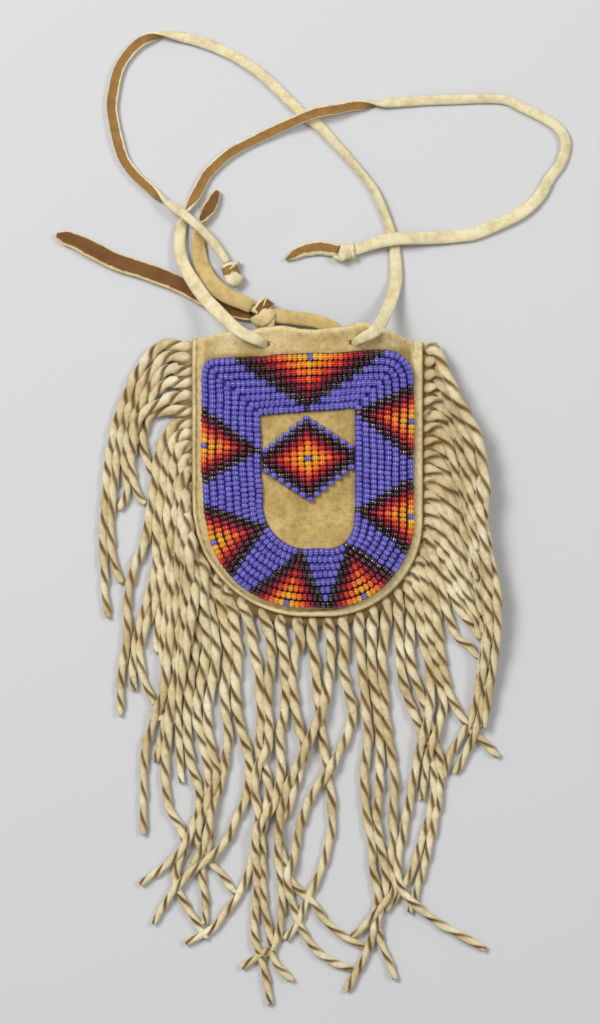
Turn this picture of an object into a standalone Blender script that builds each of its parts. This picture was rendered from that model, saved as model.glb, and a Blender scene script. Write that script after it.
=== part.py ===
"""Beaded medicine bag: a small buckskin pouch that lies on its back.

A crowned front panel and a flat back panel are sewn round their sides and
bottom over a welt, whose edge is cut and twisted into a long fringe. A band of
bead rows frames a bare window with a beaded diamond. Two leather thongs pass
through slits by the mouth. Metres, +Z up; the origin is the middle of the flat
back face and +Y runs to the mouth.
"""

import math

import bmesh
import bpy
from mathutils import Vector

MM = 0.001

# Beadwork: rows of beads between an outer outline and the bare window
BEADWORK_WIDTH = 63.3 * MM
BEADWORK_HEIGHT = 76.2 * MM
FLOOR_STRAIGHT = 6.1 * MM
CORNER_DIFFERENCE = 5.2 * MM
LEFT_CORNER_RADIUS = (BEADWORK_WIDTH - FLOOR_STRAIGHT + CORNER_DIFFERENCE) / 2
RIGHT_CORNER_RADIUS = (BEADWORK_WIDTH - FLOOR_STRAIGHT - CORNER_DIFFERENCE) / 2
TOP_TILT = 0.035
ROW_COUNT = 8
ROW_PITCH = 2.2 * MM
BEAD_HEIGHT = 1.65 * MM
ROW_GROOVE = 0.7 * MM

# Leather pouch
LEATHER = 1.3 * MM
CLEARANCE = 0.3 * MM
BEAD_CLEARANCE = 0.5 * MM
RIM_WIDTH = 3.1 * MM
RIM_ROLL = 0.8 * MM
CROWN = 5.2 * MM
CROWN_RUN = 7.0 * MM
LIP_RISE = 6.0 * MM
LIP_DROP = 2.6 * MM
MOUTH_FLARE = 3.6 * MM
FLARE_LENGTH = 15.6 * MM
BACK_LIP_LIFT = 1.7 * MM
LIFT_LENGTH = 12.0 * MM
LIFT_FROM_LIP = 8.0 * MM

# Welt and fringe
WELT_OUTSIDE = 2.8 * MM
WELT_INSIDE = 2.4 * MM
STRAND_ROOT_RADIUS = 1.9 * MM
STRAND_TIP_RADIUS = 1.35 * MM
STRAND_STEP = 10.5 * MM
MOST_LAYERS = 3

# Thongs, cut from flat lace
LACE_WIDTH = 5.0 * MM
LACE_THICKNESS = 1.9 * MM
STRAP_WIDTH = 5.6 * MM
SLIT_SQUEEZE = 0.6
SLIT_CLEARANCE = 1.05 * MM
BACK_SLIT_CLEARANCE = 1.3 * MM
LACE_STEP = 9.0 * MM

# Length of the blocks that only cut, taller than the pouch
CUTTER_LENGTH = 40 * MM

# Diamond in the window, worked in upright columns of beads
DIAMOND_OFFSET = 0.15 * MM
DIAMOND_TOP_GAP = 0.6 * MM
DIAMOND_SIDE_GAP = 0.4 * MM
COLUMN_COUNT = 13
DIAMOND_HALF_BEADS = 8

# Bead colours of a motif, from its edge inwards, as shares of its steps
DARK_STEPS = 2
RED_STEPS = 4
BEAD_STEPS = 7

# Rows at a motif's base that are all as wide as one another
BASE_ROWS = 0.7

# Each motif, in turn from the top left corner round: the beads of plain ground
# before its base on the outermost row, and its point's place on the innermost
# as a share of the way round
SIDE_MOTIFS = {
    "left_upper": (9, 0.115),
    "left_lower": (4, 0.330),
    "bottom_left": (4, 0.464),
    "bottom_right": (0.5, 0.605),
    "right_lower": (4, 0.708),
    "right_upper": (3, 0.975),
}
BEADS_AFTER_LAST_MOTIF = 6
MOTIF_BEADS = 2 * ROW_COUNT - 1
BEADS_ROUND = sum(before + MOTIF_BEADS for before, _ in SIDE_MOTIFS.values()) + BEADS_AFTER_LAST_MOTIF
TOP_MOTIF_OFFSETS = (1.0 * MM, 0.0)

# Fringe strands as they fall: each from its root in the seam to its tip, in
# millimetres, from the top of the left side round to the top of the right
STRAND_ROUTES = [
    [(-35, 40), (-41, 41), (-45.5, 38.5), (-51, 30.5), (-54, 24), (-56.5, 17), (-58.5, 6), (-60, -7),
     (-60.5, -20), (-60.3, -31), (-58.5, -41.5)],
    [(-35, 36.5), (-41, 37.5), (-46.5, 32), (-50, 26), (-53, 19), (-55.7, 8), (-57.5, -5), (-58, -13),
     (-57.3, -20), (-56, -26), (-54, -31)],
    [(-35, 33), (-40.5, 33.5), (-44.5, 30), (-48.5, 23), (-52, 16), (-54, 9), (-54, 3), (-53.5, -3),
     (-55.5, -9)],
    [(-35, 29.5), (-41, 29.5), (-45.5, 26.5), (-48.5, 22), (-50, 17), (-49.5, 11)],
    [(-35, 25.5), (-39, 25), (-43.5, 23), (-48, 20.5), (-51, 16.5), (-51.5, 10), (-52, 4), (-51.5, -1),
     (-50, -5), (-47.5, -7)],
    [(-35, 21), (-40, 21), (-44.5, 20.5), (-47.3, 17.5), (-48, 12), (-47.5, 7.5), (-45.3, 2)],
    [(-35, 17), (-38.5, 16.5), (-41.5, 12), (-43.3, 7), (-44.7, -1), (-46.3, -10), (-48, -19),
     (-50.5, -25), (-52, -31), (-53, -39), (-53, -50), (-54.5, -60), (-55.3, -71)],
    [(-35, 14), (-38.5, 12.5), (-40.7, 7), (-42, 1), (-43, -5), (-44.5, -12), (-44.5, -20), (-45, -28),
     (-47, -36), (-49, -43), (-50.5, -50), (-51, -57), (-51, -63.5)],
    [(-35, 10.5), (-37.5, 9.5), (-39.2, 5), (-40, -1), (-40.5, -8), (-42, -15), (-42, -22), (-43, -30),
     (-44.8, -37), (-47, -43), (-49, -50), (-48.8, -57), (-47.5, -62.5), (-45.2, -67.5)],
    [(-35, 6.5), (-36.8, 4), (-38, -2), (-38.5, -9), (-39.5, -16), (-40.5, -24), (-41, -31), (-42, -38),
     (-43, -44), (-44, -52)],
    [(-34.8, 2.5), (-36, -1), (-36.5, -7), (-37.5, -14), (-38, -21), (-39, -29), (-40.5, -37),
     (-42, -45), (-42.3, -52), (-41.5, -59), (-42, -66), (-42.8, -72.6)],
    [(-34.8, -1.5), (-35.3, -5), (-35.8, -11), (-36.5, -18), (-37, -26), (-37.5, -33), (-38.5, -41),
     (-40, -49), (-41, -57), (-42, -64), (-45, -71), (-47.5, -80), (-48.4, -92), (-48, -100),
     (-47.6, -107)],
    [(-34.8, -5.5), (-34.8, -10), (-35.3, -16), (-35.5, -23), (-35.8, -30), (-36.5, -38), (-38, -46),
     (-39, -54), (-40, -62), (-41, -70), (-42.5, -78), (-44.2, -85)],
    [(-34.6, -9.5), (-33.9, -14), (-34.3, -20), (-34, -27), (-34, -34), (-35, -42), (-36.5, -50),
     (-38, -58), (-39.5, -66), (-40.5, -75), (-41.3, -85), (-40.7, -98), (-37, -104.5), (-35.7, -110),
     (-37.8, -117), (-37.5, -123), (-34.5, -130), (-29.3, -138.6)],
    [(-34, -13.5), (-33, -18), (-32.8, -25), (-32.5, -32), (-33.3, -40), (-34.8, -48), (-36, -56),
     (-37, -64), (-37.5, -71), (-36.5, -79), (-36, -91)],
    [(-33, -17.5), (-31.6, -22), (-31.3, -28), (-31.2, -36), (-31.8, -45), (-33, -53), (-34, -61),
     (-34.6, -69), (-34.8, -77), (-33.5, -86), (-31.5, -93), (-31.3, -99), (-33.3, -105.5),
     (-36.3, -111), (-41, -115.5), (-49, -121.5)],
    [(-31.5, -21.5), (-29.8, -27), (-30.2, -34), (-29.5, -41), (-28.8, -49), (-30, -56), (-31.5, -63),
     (-32.3, -70), (-30.8, -78), (-29, -86), (-28.2, -93), (-28.3, -101), (-29, -109), (-30, -117),
     (-29.6, -125), (-30.3, -133.5)],
    [(-29.3, -25.5), (-27.8, -31), (-28, -38), (-27, -46), (-26.3, -53), (-27.3, -60), (-28.6, -67),
     (-28.4, -75), (-27.5, -83), (-26, -88), (-27.8, -93.5), (-30, -100), (-31.5, -107), (-29, -113.5),
     (-24.5, -118.5), (-20, -124)],
    [(-26.8, -29), (-25, -35), (-24.3, -42), (-22.8, -49), (-22.8, -56), (-24, -63), (-23.7, -70),
     (-22.6, -77), (-23.8, -84), (-26, -91), (-28, -98), (-28.5, -105), (-31, -111), (-34, -115)],
    [(-23.8, -32), (-21.3, -38.5), (-20.8, -45), (-20, -51), (-20.7, -58), (-20.2, -65), (-19, -72),
     (-17.3, -79), (-16.6, -86), (-17.3, -94), (-20, -101), (-23, -107), (-28, -112.5), (-35, -118),
     (-40.5, -123.5), (-46.3, -132.8)],
    [(-19, -35.7), (-16.5, -42), (-15.3, -50), (-13.8, -57), (-13.5, -64), (-12.8, -71), (-13.8, -78),
     (-12, -85), (-10.5, -92), (-12, -99), (-13.8, -106), (-15.5, -112), (-17.5, -118), (-19.6, -123.5),
     (-23, -128), (-28.5, -134), (-36, -138.3)],
    [(-13, -38.8), (-10.9, -46), (-10.4, -53), (-11.3, -60), (-11.7, -67), (-11.2, -74), (-12, -80),
     (-15, -85), (-16, -92), (-14.5, -99), (-13.5, -107), (-12.8, -116), (-12, -126), (-10.5, -136),
     (-8.7, -144), (-3.7, -149.7)],
    [(-8, -40.4), (-7.3, -48), (-6.5, -55), (-5.6, -62), (-6.5, -69), (-7.8, -76), (-7.3, -84),
     (-8.5, -91), (-10.5, -97), (-14, -102), (-15.8, -109), (-15.5, -118), (-15.6, -128), (-15, -137),
     (-13.5, -143), (-12.5, -150), (-11.3, -157)],
    [(-3, -41.1), (-2.2, -47), (-4, -53), (-4.8, -60), (-3.5, -67), (-2, -74), (-0.5, -79), (-2.2, -86),
     (-4, -92), (-6.5, -99), (-9, -105), (-7.5, -112), (-5.5, -118), (-3, -122), (1.5, -126.5),
     (6, -132), (11, -136), (18, -139.5)],
    [(1.5, -41.2), (1.7, -48), (2.7, -55), (3.2, -62), (4, -69), (4.3, -76), (5.8, -83), (7, -91),
     (7.2, -99), (6.7, -107), (4.6, -114.5), (1.5, -121), (-1, -127.5), (-3, -132.5), (-7, -137.3)],
    [(6, -41.2), (7.2, -47.5), (6.9, -54), (6, -61), (4.3, -68), (1.5, -74), (-1.5, -81), (-4.3, -88),
     (-6.5, -95), (-8.3, -102), (-8.5, -110), (-8.3, -118), (-8, -127), (-8.6, -134), (-10, -139.5),
     (-14, -142.5), (-20, -145.7)],
    [(10.5, -40.8), (11, -48), (10.5, -54), (11.8, -61), (13.2, -68), (11.8, -75), (9, -81), (5.5, -87),
     (1.5, -92.5), (-1.5, -99), (-3.3, -106), (-4.3, -113), (-6, -118.5), (-4.5, -126), (-2.5, -133),
     (2, -139.5), (7.5, -143.8), (13, -146.3)],
    [(15, -39.6), (15.3, -47), (15.8, -54), (16.8, -61), (17.4, -69), (18, -76), (17.2, -84),
     (16.9, -92), (17.4, -100), (19.2, -108), (19.6, -116), (21.2, -124), (20.8, -131), (22.3, -138),
     (24.3, -144), (26, -149.3)],
    [(19.2, -37.8), (18.8, -45), (18.6, -52), (19.3, -59), (20.3, -66), (21.5, -74), (21.8, -82),
     (21, -90), (20, -98), (20.8, -106), (22.3, -114), (23, -121), (21.5, -128), (20, -134),
     (17, -141.5), (13.5, -147.5), (10.3, -153)],
    [(23, -35.5), (22.5, -43), (21.7, -50), (21.8, -58), (22.3, -66), (23, -74), (24.2, -82),
     (25.2, -90), (25, -98), (25, -106), (24.4, -113), (26.3, -119), (26, -123.5), (22, -128),
     (16, -134.5), (12.5, -137)],
    [(26.3, -32.7), (26.6, -42), (26.8, -50), (27.2, -58), (29, -65), (32, -72), (34.8, -79),
     (37.2, -86), (38.2, -92.5), (36.8, -99), (35, -105.5), (32.3, -112), (29.5, -118), (27, -122.5),
     (22.5, -129)],
    [(29, -29.6), (30.3, -38), (30, -46), (30, -53), (31.8, -60), (34, -66.5), (36, -73), (38.2, -80),
     (39.3, -87), (38.5, -94), (37, -101), (36, -107), (34.5, -114), (32.3, -120.5), (31, -125),
     (29.6, -129.5)],
    [(30.8, -26.8), (32.5, -33), (33.5, -40), (34.3, -47), (35.8, -54), (36, -61), (35.5, -68),
     (34, -75), (32.5, -81), (31.5, -87), (29.6, -94), (28.5, -101), (27.5, -108), (25.6, -115),
     (26, -121), (29, -125.5), (35, -130.5), (42, -135.5), (51.8, -141)],
    [(32.3, -23.8), (34, -30), (35, -37), (35.5, -45), (37.3, -53), (39, -60), (39.8, -66), (38.3, -73),
     (36, -79), (34.5, -85), (33.5, -91), (32.3, -96)],
    [(33.5, -20.5), (35.3, -27), (36.5, -34), (37.3, -42), (38, -50), (39.5, -58), (41.5, -64),
     (45, -70), (49, -75), (53, -79.3), (56.7, -83)],
    [(34.3, -16.5), (36.3, -23), (38, -30), (39.3, -37), (41, -43), (43.3, -47.5), (47, -50),
     (50, -53.5)],
    [(34.7, -12.5), (37, -18), (39, -24.5), (41, -31), (43, -37), (45.5, -41), (49, -44), (51, -48)],
    [(34.75, -8.5), (37.5, -12), (39.5, -18), (41.5, -24.5), (43.5, -30.5), (46, -36.5), (48.8, -41.5),
     (51.5, -47), (51.3, -54)],
    [(34.75, -4.5), (38, -7.5), (40.5, -12.5), (42.3, -18.5), (44, -25), (46, -31), (48.3, -37),
     (50.5, -42), (51.8, -48)],
    [(34.75, -0.5), (38, -3), (41, -7.5), (43.2, -13), (44.8, -19), (46.3, -26), (48.2, -32.5),
     (50, -38.5), (51.5, -45), (51.5, -52), (50.5, -60), (50.3, -67), (50.3, -75)],
    [(34.75, 3.5), (38, 1.5), (41, -2.5), (43.3, -7.5), (45, -13), (46.3, -19), (47.7, -26),
     (49.5, -32), (51, -38.5), (52, -46)],
    [(34.75, 7.5), (38, 6), (40.8, 2.5), (43.2, -2.5), (45.3, -7.5), (46.3, -14), (47.5, -20),
     (49, -27), (50.7, -34), (52, -41)],
    [(34.75, 11.5), (38, 10.7), (41, 7), (43, 2), (45, -3), (46.6, -9), (47.8, -16), (49, -23),
     (50.5, -30)],
    [(34.75, 15.5), (37.8, 15.3), (40.8, 12), (42.8, 7), (44.5, 1), (46.2, -5), (47.3, -12),
     (48.7, -19), (50, -26)],
    [(34.75, 19.5), (37.5, 19.7), (40.5, 17), (43, 12), (44.7, 6), (46.2, 0), (47.6, -7), (48.8, -14),
     (50, -21)],
    [(34.75, 23.7), (38, 23.5), (41.5, 20.5), (43.9, 15), (45.3, 9), (46.5, 3), (47.8, -4), (49, -11),
     (50.3, -18)],
    [(34.75, 28), (37.5, 27.7), (40.5, 25), (42.8, 20.5), (44.7, 15), (46.2, 9), (47.6, 2), (48.5, -5),
     (49.5, -12), (50.8, -19), (51.8, -27), (51.8, -35), (52.3, -43), (51.5, -50), (50.3, -55)],
    [(34.75, 32), (37.5, 31.7), (40, 28), (42, 23.5), (44.3, 18.5), (46.6, 13), (48.2, 6), (49, -1),
     (49.2, -8), (50, -15), (51.4, -22), (52.4, -30), (53, -38), (53, -46), (51.7, -54), (50.2, -62),
     (48.8, -70), (45.5, -77), (41.5, -83.5), (39.8, -90)],
    [(34.75, 36), (37.5, 35.7), (39.8, 31.5), (41.6, 27), (43.9, 22), (46.9, 17), (49.2, 11), (50.2, 4),
     (50.3, -4), (50, -11), (51.2, -19), (52.8, -27), (53.8, -34), (54.4, -42), (54.3, -50),
     (53.2, -58), (51.8, -66), (49.5, -75), (46, -82.5), (42.8, -88.7)],
    [(34.75, 40), (37.5, 38.3), (39.3, 34), (41.3, 29.5), (43.3, 24.5), (46.3, 19), (49.3, 13), (51, 5),
     (51.5, -3), (51, -9), (52, -17), (53.5, -25), (54.7, -32), (55.8, -40), (55.6, -48), (54.6, -57),
     (53, -65), (51.3, -74.5)],
]

# Front thong: from the knot at the end of its right loop, through both slits,
# to the knot at the end of its left loop; millimetres
FRONT_THONG_ROUTE = [
    (15.3, 69.8, 1.2), (18.5, 70.9, 2.2), (22.5, 72.1, 3.4), (27.8, 72.9, 3.5), (31.5, 73.1, 3.2),
    (36.8, 73.2, 1.6), (45.8, 73.8, 1), (51.8, 75, 1), (63.8, 80.4, 1), (69.8, 85.5, 1), (73.4, 91.5, 1),
    (76.7, 96, 1), (78.2, 102, 1), (75.8, 106.5, 1), (71.3, 109.5, 1), (63.8, 113.1, 1), (57.8, 115.2, 1),
    (39.8, 114.9, 1), (15.8, 113.4, 1.3), (9.8, 112.2, 2.3), (6, 111.5, 3.3), (2.3, 110.7, 3.6),
    (-2.3, 109, 3.4), (-8.3, 106.5, 1.8), (-15.8, 103, 1), (-23.3, 99, 1), (-28.5, 94.5, 1), (-31, 91.5, 1),
    (-34, 85.5, 1), (-36.5, 80.5, 1), (-38.3, 75.5, 1), (-38.6, 70.5, 1.2), (-37.5, 65.5, 2.6),
    (-34.5, 60, 4.4), (-31, 55, 5.8), (-25.8, 49.5, 9.6), (-21.6, 45.4, 14.2), (-18.6, 43.4, 16.2),
    (-16, 42.2, 16.3), (-14, 41.3, 15), (-12.7, 40.4, 12), (-11.4, 39.6, 9.6), (-7.5, 38.8, 8.2),
    (0, 38.5, 8.2), (9.5, 39, 8.2), (12.7, 40, 9.6), (13.9, 40.8, 12), (15.2, 41.7, 15), (17, 42.7, 16.3),
    (19.4, 43.9, 16.1), (21.6, 46.3, 13), (23.3, 49.5, 9.4), (25, 53.5, 5), (26.3, 58, 2.2),
    (26.9, 61.5, 1.2),
    (26.6, 67.5, 1), (25.7, 73.5, 1), (21.2, 85.5, 1), (17.3, 91.5, 1), (8.3, 102, 1), (3.2, 107.4, 1),
    (-2.3, 111.6, 1), (-14.3, 123, 1), (-26.3, 130.2, 1), (-38.3, 134.1, 1), (-44.3, 134.6, 1),
    (-48.5, 133.5, 1), (-52.7, 130.5, 1), (-56.9, 124.5, 1), (-58.7, 117, 1), (-59, 111, 1), (-56.3, 99, 1),
    (-52.7, 93, 1), (-47.3, 87.9, 1.3), (-41.3, 83.1, 2.8), (-36.8, 79.8, 3.7), (-32.3, 75.9, 3.7),
    (-28.7, 72, 3.2), (-25.6, 68.2, 2.2),
]
LEFT_SLIT_CENTRE = Vector((-12.6 * MM, 40.6 * MM))
RIGHT_SLIT_CENTRE = Vector((13.9 * MM, 41.1 * MM))

# Back thong: its loop through the back lip, and the two ends beyond its knot
BACK_LOOP_ROUTE = [
    (-8.6, 49.2, 3), (-3, 48.3, 3.4), (3, 47.3, 4.4), (8.5, 45.4, 5), (11.4, 42.6, 4.6), (12.2, 40.3, 3.4),
    (11.4, 38.9, 1.6), (8, 38.2, 0.75), (-1, 38.2, 0.75), (-8.6, 38.2, 0.75), (-11.6, 38.9, 1.6),
    (-12.6, 40.3, 3.4), (-13, 42.2, 4.4), (-13.4, 45, 4),
]
BACK_SLIT_X = 12.3 * MM
BACK_SLIT_Y = 39.6 * MM
LONG_END_ROUTE = [
    (-19.3, 50.6, 1), (-24, 52, 1), (-30.8, 54.9, 1), (-36.8, 58.2, 1), (-42.8, 60.9, 1), (-50.3, 63.6, 1),
    (-57.8, 66, 1), (-63.8, 69, 1), (-69.8, 72, 1), (-75.8, 74.1, 1),
]
SHORT_END_ROUTE = [
    (-19.6, 53.6, 4.1), (-23.5, 55.3, 4.0), (-27.2, 57.8, 3.4), (-30, 61, 2.3), (-31.9, 65, 1.2),
    (-32.8, 69.5, 1), (-32.9, 74, 1), (-31.5, 78.5, 1), (-29.3, 82.8, 1), (-27, 87.4, 1),
]

# Knots: middle and half sizes, millimetres
RIGHT_KNOT = ((11.4, 68.8, 2.4), (3.3, 3.1, 2.3))
LEFT_KNOT = ((-22.6, 62.4, 2.4), (2.8, 4.2, 2.3))
BACK_KNOT = ((-13.8, 50.6, 3.0), (4.6, 4.6, 2.9))
RIGHT_TAIL_ROUTE = [(9.5, 69, 1.4), (3.2, 70.3, 1), (-2.3, 69, 1), (-5.6, 66.4, 1)]

LEATHER_TAN = (0.60, 0.43, 0.17)
LEATHER_CREAM = (0.77, 0.66, 0.40)
SUEDE_BROWN = (0.20, 0.09, 0.03)
BEAD_BLUE = (0.14, 0.11, 0.50)
BEAD_DARK = (0.03, 0.015, 0.015)
BEAD_RED = (0.45, 0.03, 0.02)
BEAD_GOLD = (0.93, 0.38, 0.03)


def clear_scene():
    for obj in list(bpy.data.objects):
        bpy.data.objects.remove(obj)


def new_collection(name):
    collection = bpy.data.collections.new(name)
    bpy.context.scene.collection.children.link(collection)
    return collection


def new_material(name, colour, roughness, metallic=0.0):
    material = bpy.data.materials.new(name)
    material.use_nodes = True
    shader = material.node_tree.nodes["Principled BSDF"]
    shader.inputs["Base Color"].default_value = (*colour, 1.0)
    shader.inputs["Roughness"].default_value = roughness
    shader.inputs["Metallic"].default_value = metallic
    material.diffuse_color = (*colour, 1.0)
    return material


def add_object(name, data, material, collection):
    obj = bpy.data.objects.new(name, data)
    collection.objects.link(obj)
    if material is not None:
        if not data.materials:
            data.materials.append(material)
        obj.material_slots[0].link = "OBJECT"
        obj.material_slots[0].material = material
    return obj


def add_guide(name, data, guides):
    """An object that only shapes others, such as a cutter or a lace's section."""
    obj = bpy.data.objects.new(name, data)
    guides.objects.link(obj)
    obj.hide_render = True
    obj.display_type = "WIRE"
    return obj


def mesh_from_bmesh(name, bm):
    bmesh.ops.recalc_face_normals(bm, faces=bm.faces)
    mesh = bpy.data.meshes.new(name)
    bm.to_mesh(mesh)
    bm.free()
    return mesh


def loft(name, loops, closed_loops, join_ends):
    """Skins between loops of as many points; ends are capped, or joined round."""
    bm = bmesh.new()
    rings = [[bm.verts.new(point) for point in loop] for loop in loops]
    count = len(rings[0])
    steps = count if closed_loops else count - 1
    pairs = list(zip(rings, rings[1:]))
    if join_ends:
        pairs.append((rings[-1], rings[0]))
    for first, second in pairs:
        for i in range(steps):
            j = (i + 1) % count
            bm.faces.new((first[i], first[j], second[j], second[i]))
    if closed_loops and not join_ends:
        bm.faces.new(rings[0])
        bm.faces.new(rings[-1])
    return mesh_from_bmesh(name, bm)


def smooth_route(points, step):
    """Points a step apart on a smooth curve through hand-chosen points in millimetres."""
    knots = [Vector(point) * MM for point in points]
    ends = [2 * knots[0] - knots[1]] + knots + [2 * knots[-1] - knots[-2]]
    route = [knots[0]]
    for i in range(1, len(ends) - 2):
        before, start, end, after = ends[i - 1 : i + 3]
        pieces = max(1, round((end - start).length / step))
        for k in range(1, pieces + 1):
            t = k / pieces
            route.append(
                0.5
                * (
                    2 * start
                    + (end - before) * t
                    + (2 * before - 5 * start + 4 * end - after) * t**2
                    + (3 * start - before - 3 * end + after) * t**3
                )
            )
    return route


def even_route(points, step):
    """The same smooth curve as places an even distance apart."""
    fine = smooth_route(points, MM)
    reached = [0.0]
    for start, end in zip(fine, fine[1:]):
        reached.append(reached[-1] + (end - start).length)
    count = max(2, round(reached[-1] / step))
    route = []
    k = 0
    for i in range(count + 1):
        wanted = reached[-1] * i / count
        while k < len(fine) - 2 and reached[k + 1] < wanted:
            k += 1
        share = (wanted - reached[k]) / (reached[k + 1] - reached[k])
        route.append(fine[k].lerp(fine[k + 1], share))
    return route


class Row:
    """A line round the beadwork's sides and bottom, at an inset from its outer outline.

    Arc lengths run from the top left corner down the left side and round; less
    than nothing, and past the top right corner, they run along the top edge.
    """

    def __init__(self, inset):
        self.half = BEADWORK_WIDTH / 2 - inset
        self.bottom = -BEADWORK_HEIGHT / 2 + inset
        self.top = BEADWORK_HEIGHT / 2 - inset
        self.left_radius = max(LEFT_CORNER_RADIUS - inset, ROW_PITCH / 2)
        self.right_radius = max(RIGHT_CORNER_RADIUS - inset, ROW_PITCH / 2)
        self.left = Vector((self.left_radius - self.half, self.bottom + self.left_radius))
        self.right = Vector((self.half - self.right_radius, self.bottom + self.right_radius))
        self.left_side = self.top_at(-self.half) - self.left.y
        self.left_arc = self.left_radius * math.pi / 2
        self.floor = self.right.x - self.left.x
        self.right_arc = self.right_radius * math.pi / 2
        self.right_side = self.top_at(self.half) - self.right.y
        self.length = self.left_side + self.left_arc + self.floor + self.right_arc + self.right_side

    def top_at(self, x):
        return self.top + TOP_TILT * x

    def at(self, arc):
        """The point at an arc length."""
        if arc < 0:
            x = -self.half - arc
            return Vector((x, self.top_at(x)))
        if arc > self.length:
            x = self.half - (arc - self.length)
            return Vector((x, self.top_at(x)))
        if arc <= self.left_side:
            return Vector((-self.half, self.top_at(-self.half) - arc))
        arc -= self.left_side
        if arc <= self.left_arc:
            angle = arc / self.left_radius
            return self.left - self.left_radius * Vector((math.cos(angle), math.sin(angle)))
        arc -= self.left_arc
        if arc <= self.floor:
            return Vector((self.left.x + arc, self.bottom))
        arc -= self.floor
        if arc <= self.right_arc:
            angle = arc / self.right_radius
            return self.right + self.right_radius * Vector((math.sin(angle), -math.cos(angle)))
        arc -= self.right_arc
        return Vector((self.half, self.right.y + arc))

    def along(self, point):
        """The arc length of the place on the line nearest a point."""
        if point.x <= self.left.x and point.y >= self.left.y:
            return self.top_at(-self.half) - point.y
        if point.x <= self.left.x:
            away = self.left - point
            return self.left_side + self.left_radius * math.atan2(away.y, away.x)
        to_right_arc = self.left_side + self.left_arc + self.floor
        if point.x < self.right.x:
            return to_right_arc - self.floor + point.x - self.left.x
        if point.y <= self.right.y:
            away = point - self.right
            return to_right_arc + self.right_radius * math.atan2(away.x, -away.y)
        return to_right_arc + self.right_arc + point.y - self.right.y

    def sides(self, top, side_steps, corner_steps, floor_steps):
        """Points from the left side's top, down and round to the right side's top."""
        points = []
        for k in range(side_steps):
            share = k / side_steps
            points.append(Vector((-self.half, top + (self.left.y - top) * share)))
        for k in range(corner_steps):
            points.append(self.at(self.left_side + self.left_arc * k / corner_steps))
        for k in range(floor_steps):
            points.append(self.at(self.left_side + self.left_arc + self.floor * k / floor_steps))
        for k in range(corner_steps):
            reach = self.left_side + self.left_arc + self.floor
            points.append(self.at(reach + self.right_arc * k / corner_steps))
        for k in range(side_steps + 1):
            share = k / side_steps
            points.append(Vector((self.half, self.right.y + (top - self.right.y) * share)))
        return points


SIDE_STEPS = 8
CORNER_STEPS = 6
FLOOR_STEPS = 2
TOP_STEPS = 12
EDGE = Row(-RIM_WIDTH)
LIP_Y = BEADWORK_HEIGHT / 2 + LIP_RISE
OUTERMOST_ROW = Row(ROW_PITCH / 2)
INNERMOST_ROW = Row((ROW_COUNT - 0.5) * ROW_PITCH)
WINDOW = Row(ROW_COUNT * ROW_PITCH)
BEAD_PITCH = OUTERMOST_ROW.length / BEADS_ROUND
COLUMN_PITCH = 2 * (WINDOW.half - DIAMOND_SIDE_GAP) / COLUMN_COUNT
DIAMOND_CENTRE = Vector((
    DIAMOND_OFFSET, WINDOW.top_at(DIAMOND_OFFSET) - DIAMOND_TOP_GAP - (DIAMOND_HALF_BEADS + 0.75) * BEAD_PITCH
))


def inside(point):
    """How far a point lies inside the pouch's edge, the open mouth not counted."""
    x, y = point
    left_gap = Vector((x, y)) - EDGE.left
    right_gap = Vector((x, y)) - EDGE.right
    if left_gap.x < 0 and left_gap.y < 0:
        return min(EDGE.left_radius - left_gap.length, EDGE.half - x)
    if right_gap.x > 0 and right_gap.y < 0:
        return min(EDGE.right_radius - right_gap.length, EDGE.half + x)
    return min(x + EDGE.half, EDGE.half - x, y - EDGE.bottom)


def smooth_step(share):
    share = min(max(share, 0.0), 1.0)
    return share * share * (3 - 2 * share)


def lip_at(x):
    """The mouth's edge, highest in the middle."""
    return LIP_Y - LIP_DROP * (x / EDGE.half) ** 2


def back_lift(y):
    """How far the back panel lifts off the floor by the mouth, over its thong."""
    return BACK_LIP_LIFT * smooth_step((y - (LIP_Y - LIFT_FROM_LIP - LIFT_LENGTH)) / LIFT_LENGTH)


def seam_height(y):
    """Top of the back panel at the seam."""
    return LEATHER + back_lift(y)


def front_height(point):
    """Outer face of the front panel: a rolled rim, then a crown that levels off."""
    depth = max(inside(point), 0.0)
    edge = seam_height(point.y) + 2 * CLEARANCE + 2 * LEATHER
    rim = RIM_ROLL * math.sin(math.pi * min(depth / RIM_WIDTH, 1.0))
    crown = CROWN * (1 - math.exp(-max(depth - RIM_WIDTH / 2, 0.0) / CROWN_RUN))
    flare = MOUTH_FLARE * max(0.0, (point.y - (LIP_Y - FLARE_LENGTH)) / FLARE_LENGTH) ** 2
    flare *= smooth_step(depth / (4 * RIM_WIDTH))
    return edge + rim + crown + flare


def panel_mesh(name, depths, height):
    """An open leather panel: lines round its sides and bottom at these depths, then its middle strip."""
    bm = bmesh.new()
    lines = []
    for depth in depths:
        row = Row(depth - RIM_WIDTH)
        line = row.sides(lip_at(row.half), SIDE_STEPS, CORNER_STEPS, FLOOR_STEPS)
        lines.append([bm.verts.new((*point, height(point))) for point in line])
    for outer, inner in zip(lines, lines[1:]):
        for i in range(len(outer) - 1):
            bm.faces.new((outer[i], outer[i + 1], inner[i + 1], inner[i]))
    last = lines[-1]
    half = len(last) // 2 - 2
    for i in range(half):
        j = len(last) - 1 - i
        bm.faces.new((last[i], last[i + 1], last[j - 1], last[j]))
    bm.faces.new(last[half : len(last) - half])
    mesh = mesh_from_bmesh(name, bm)
    if mesh.polygons[0].normal.z < 0:
        mesh.flip_normals()
    return mesh


def thicken(obj, thickness):
    solidify = obj.modifiers.new("thickness", "SOLIDIFY")
    solidify.thickness = thickness
    solidify.offset = -1


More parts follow.
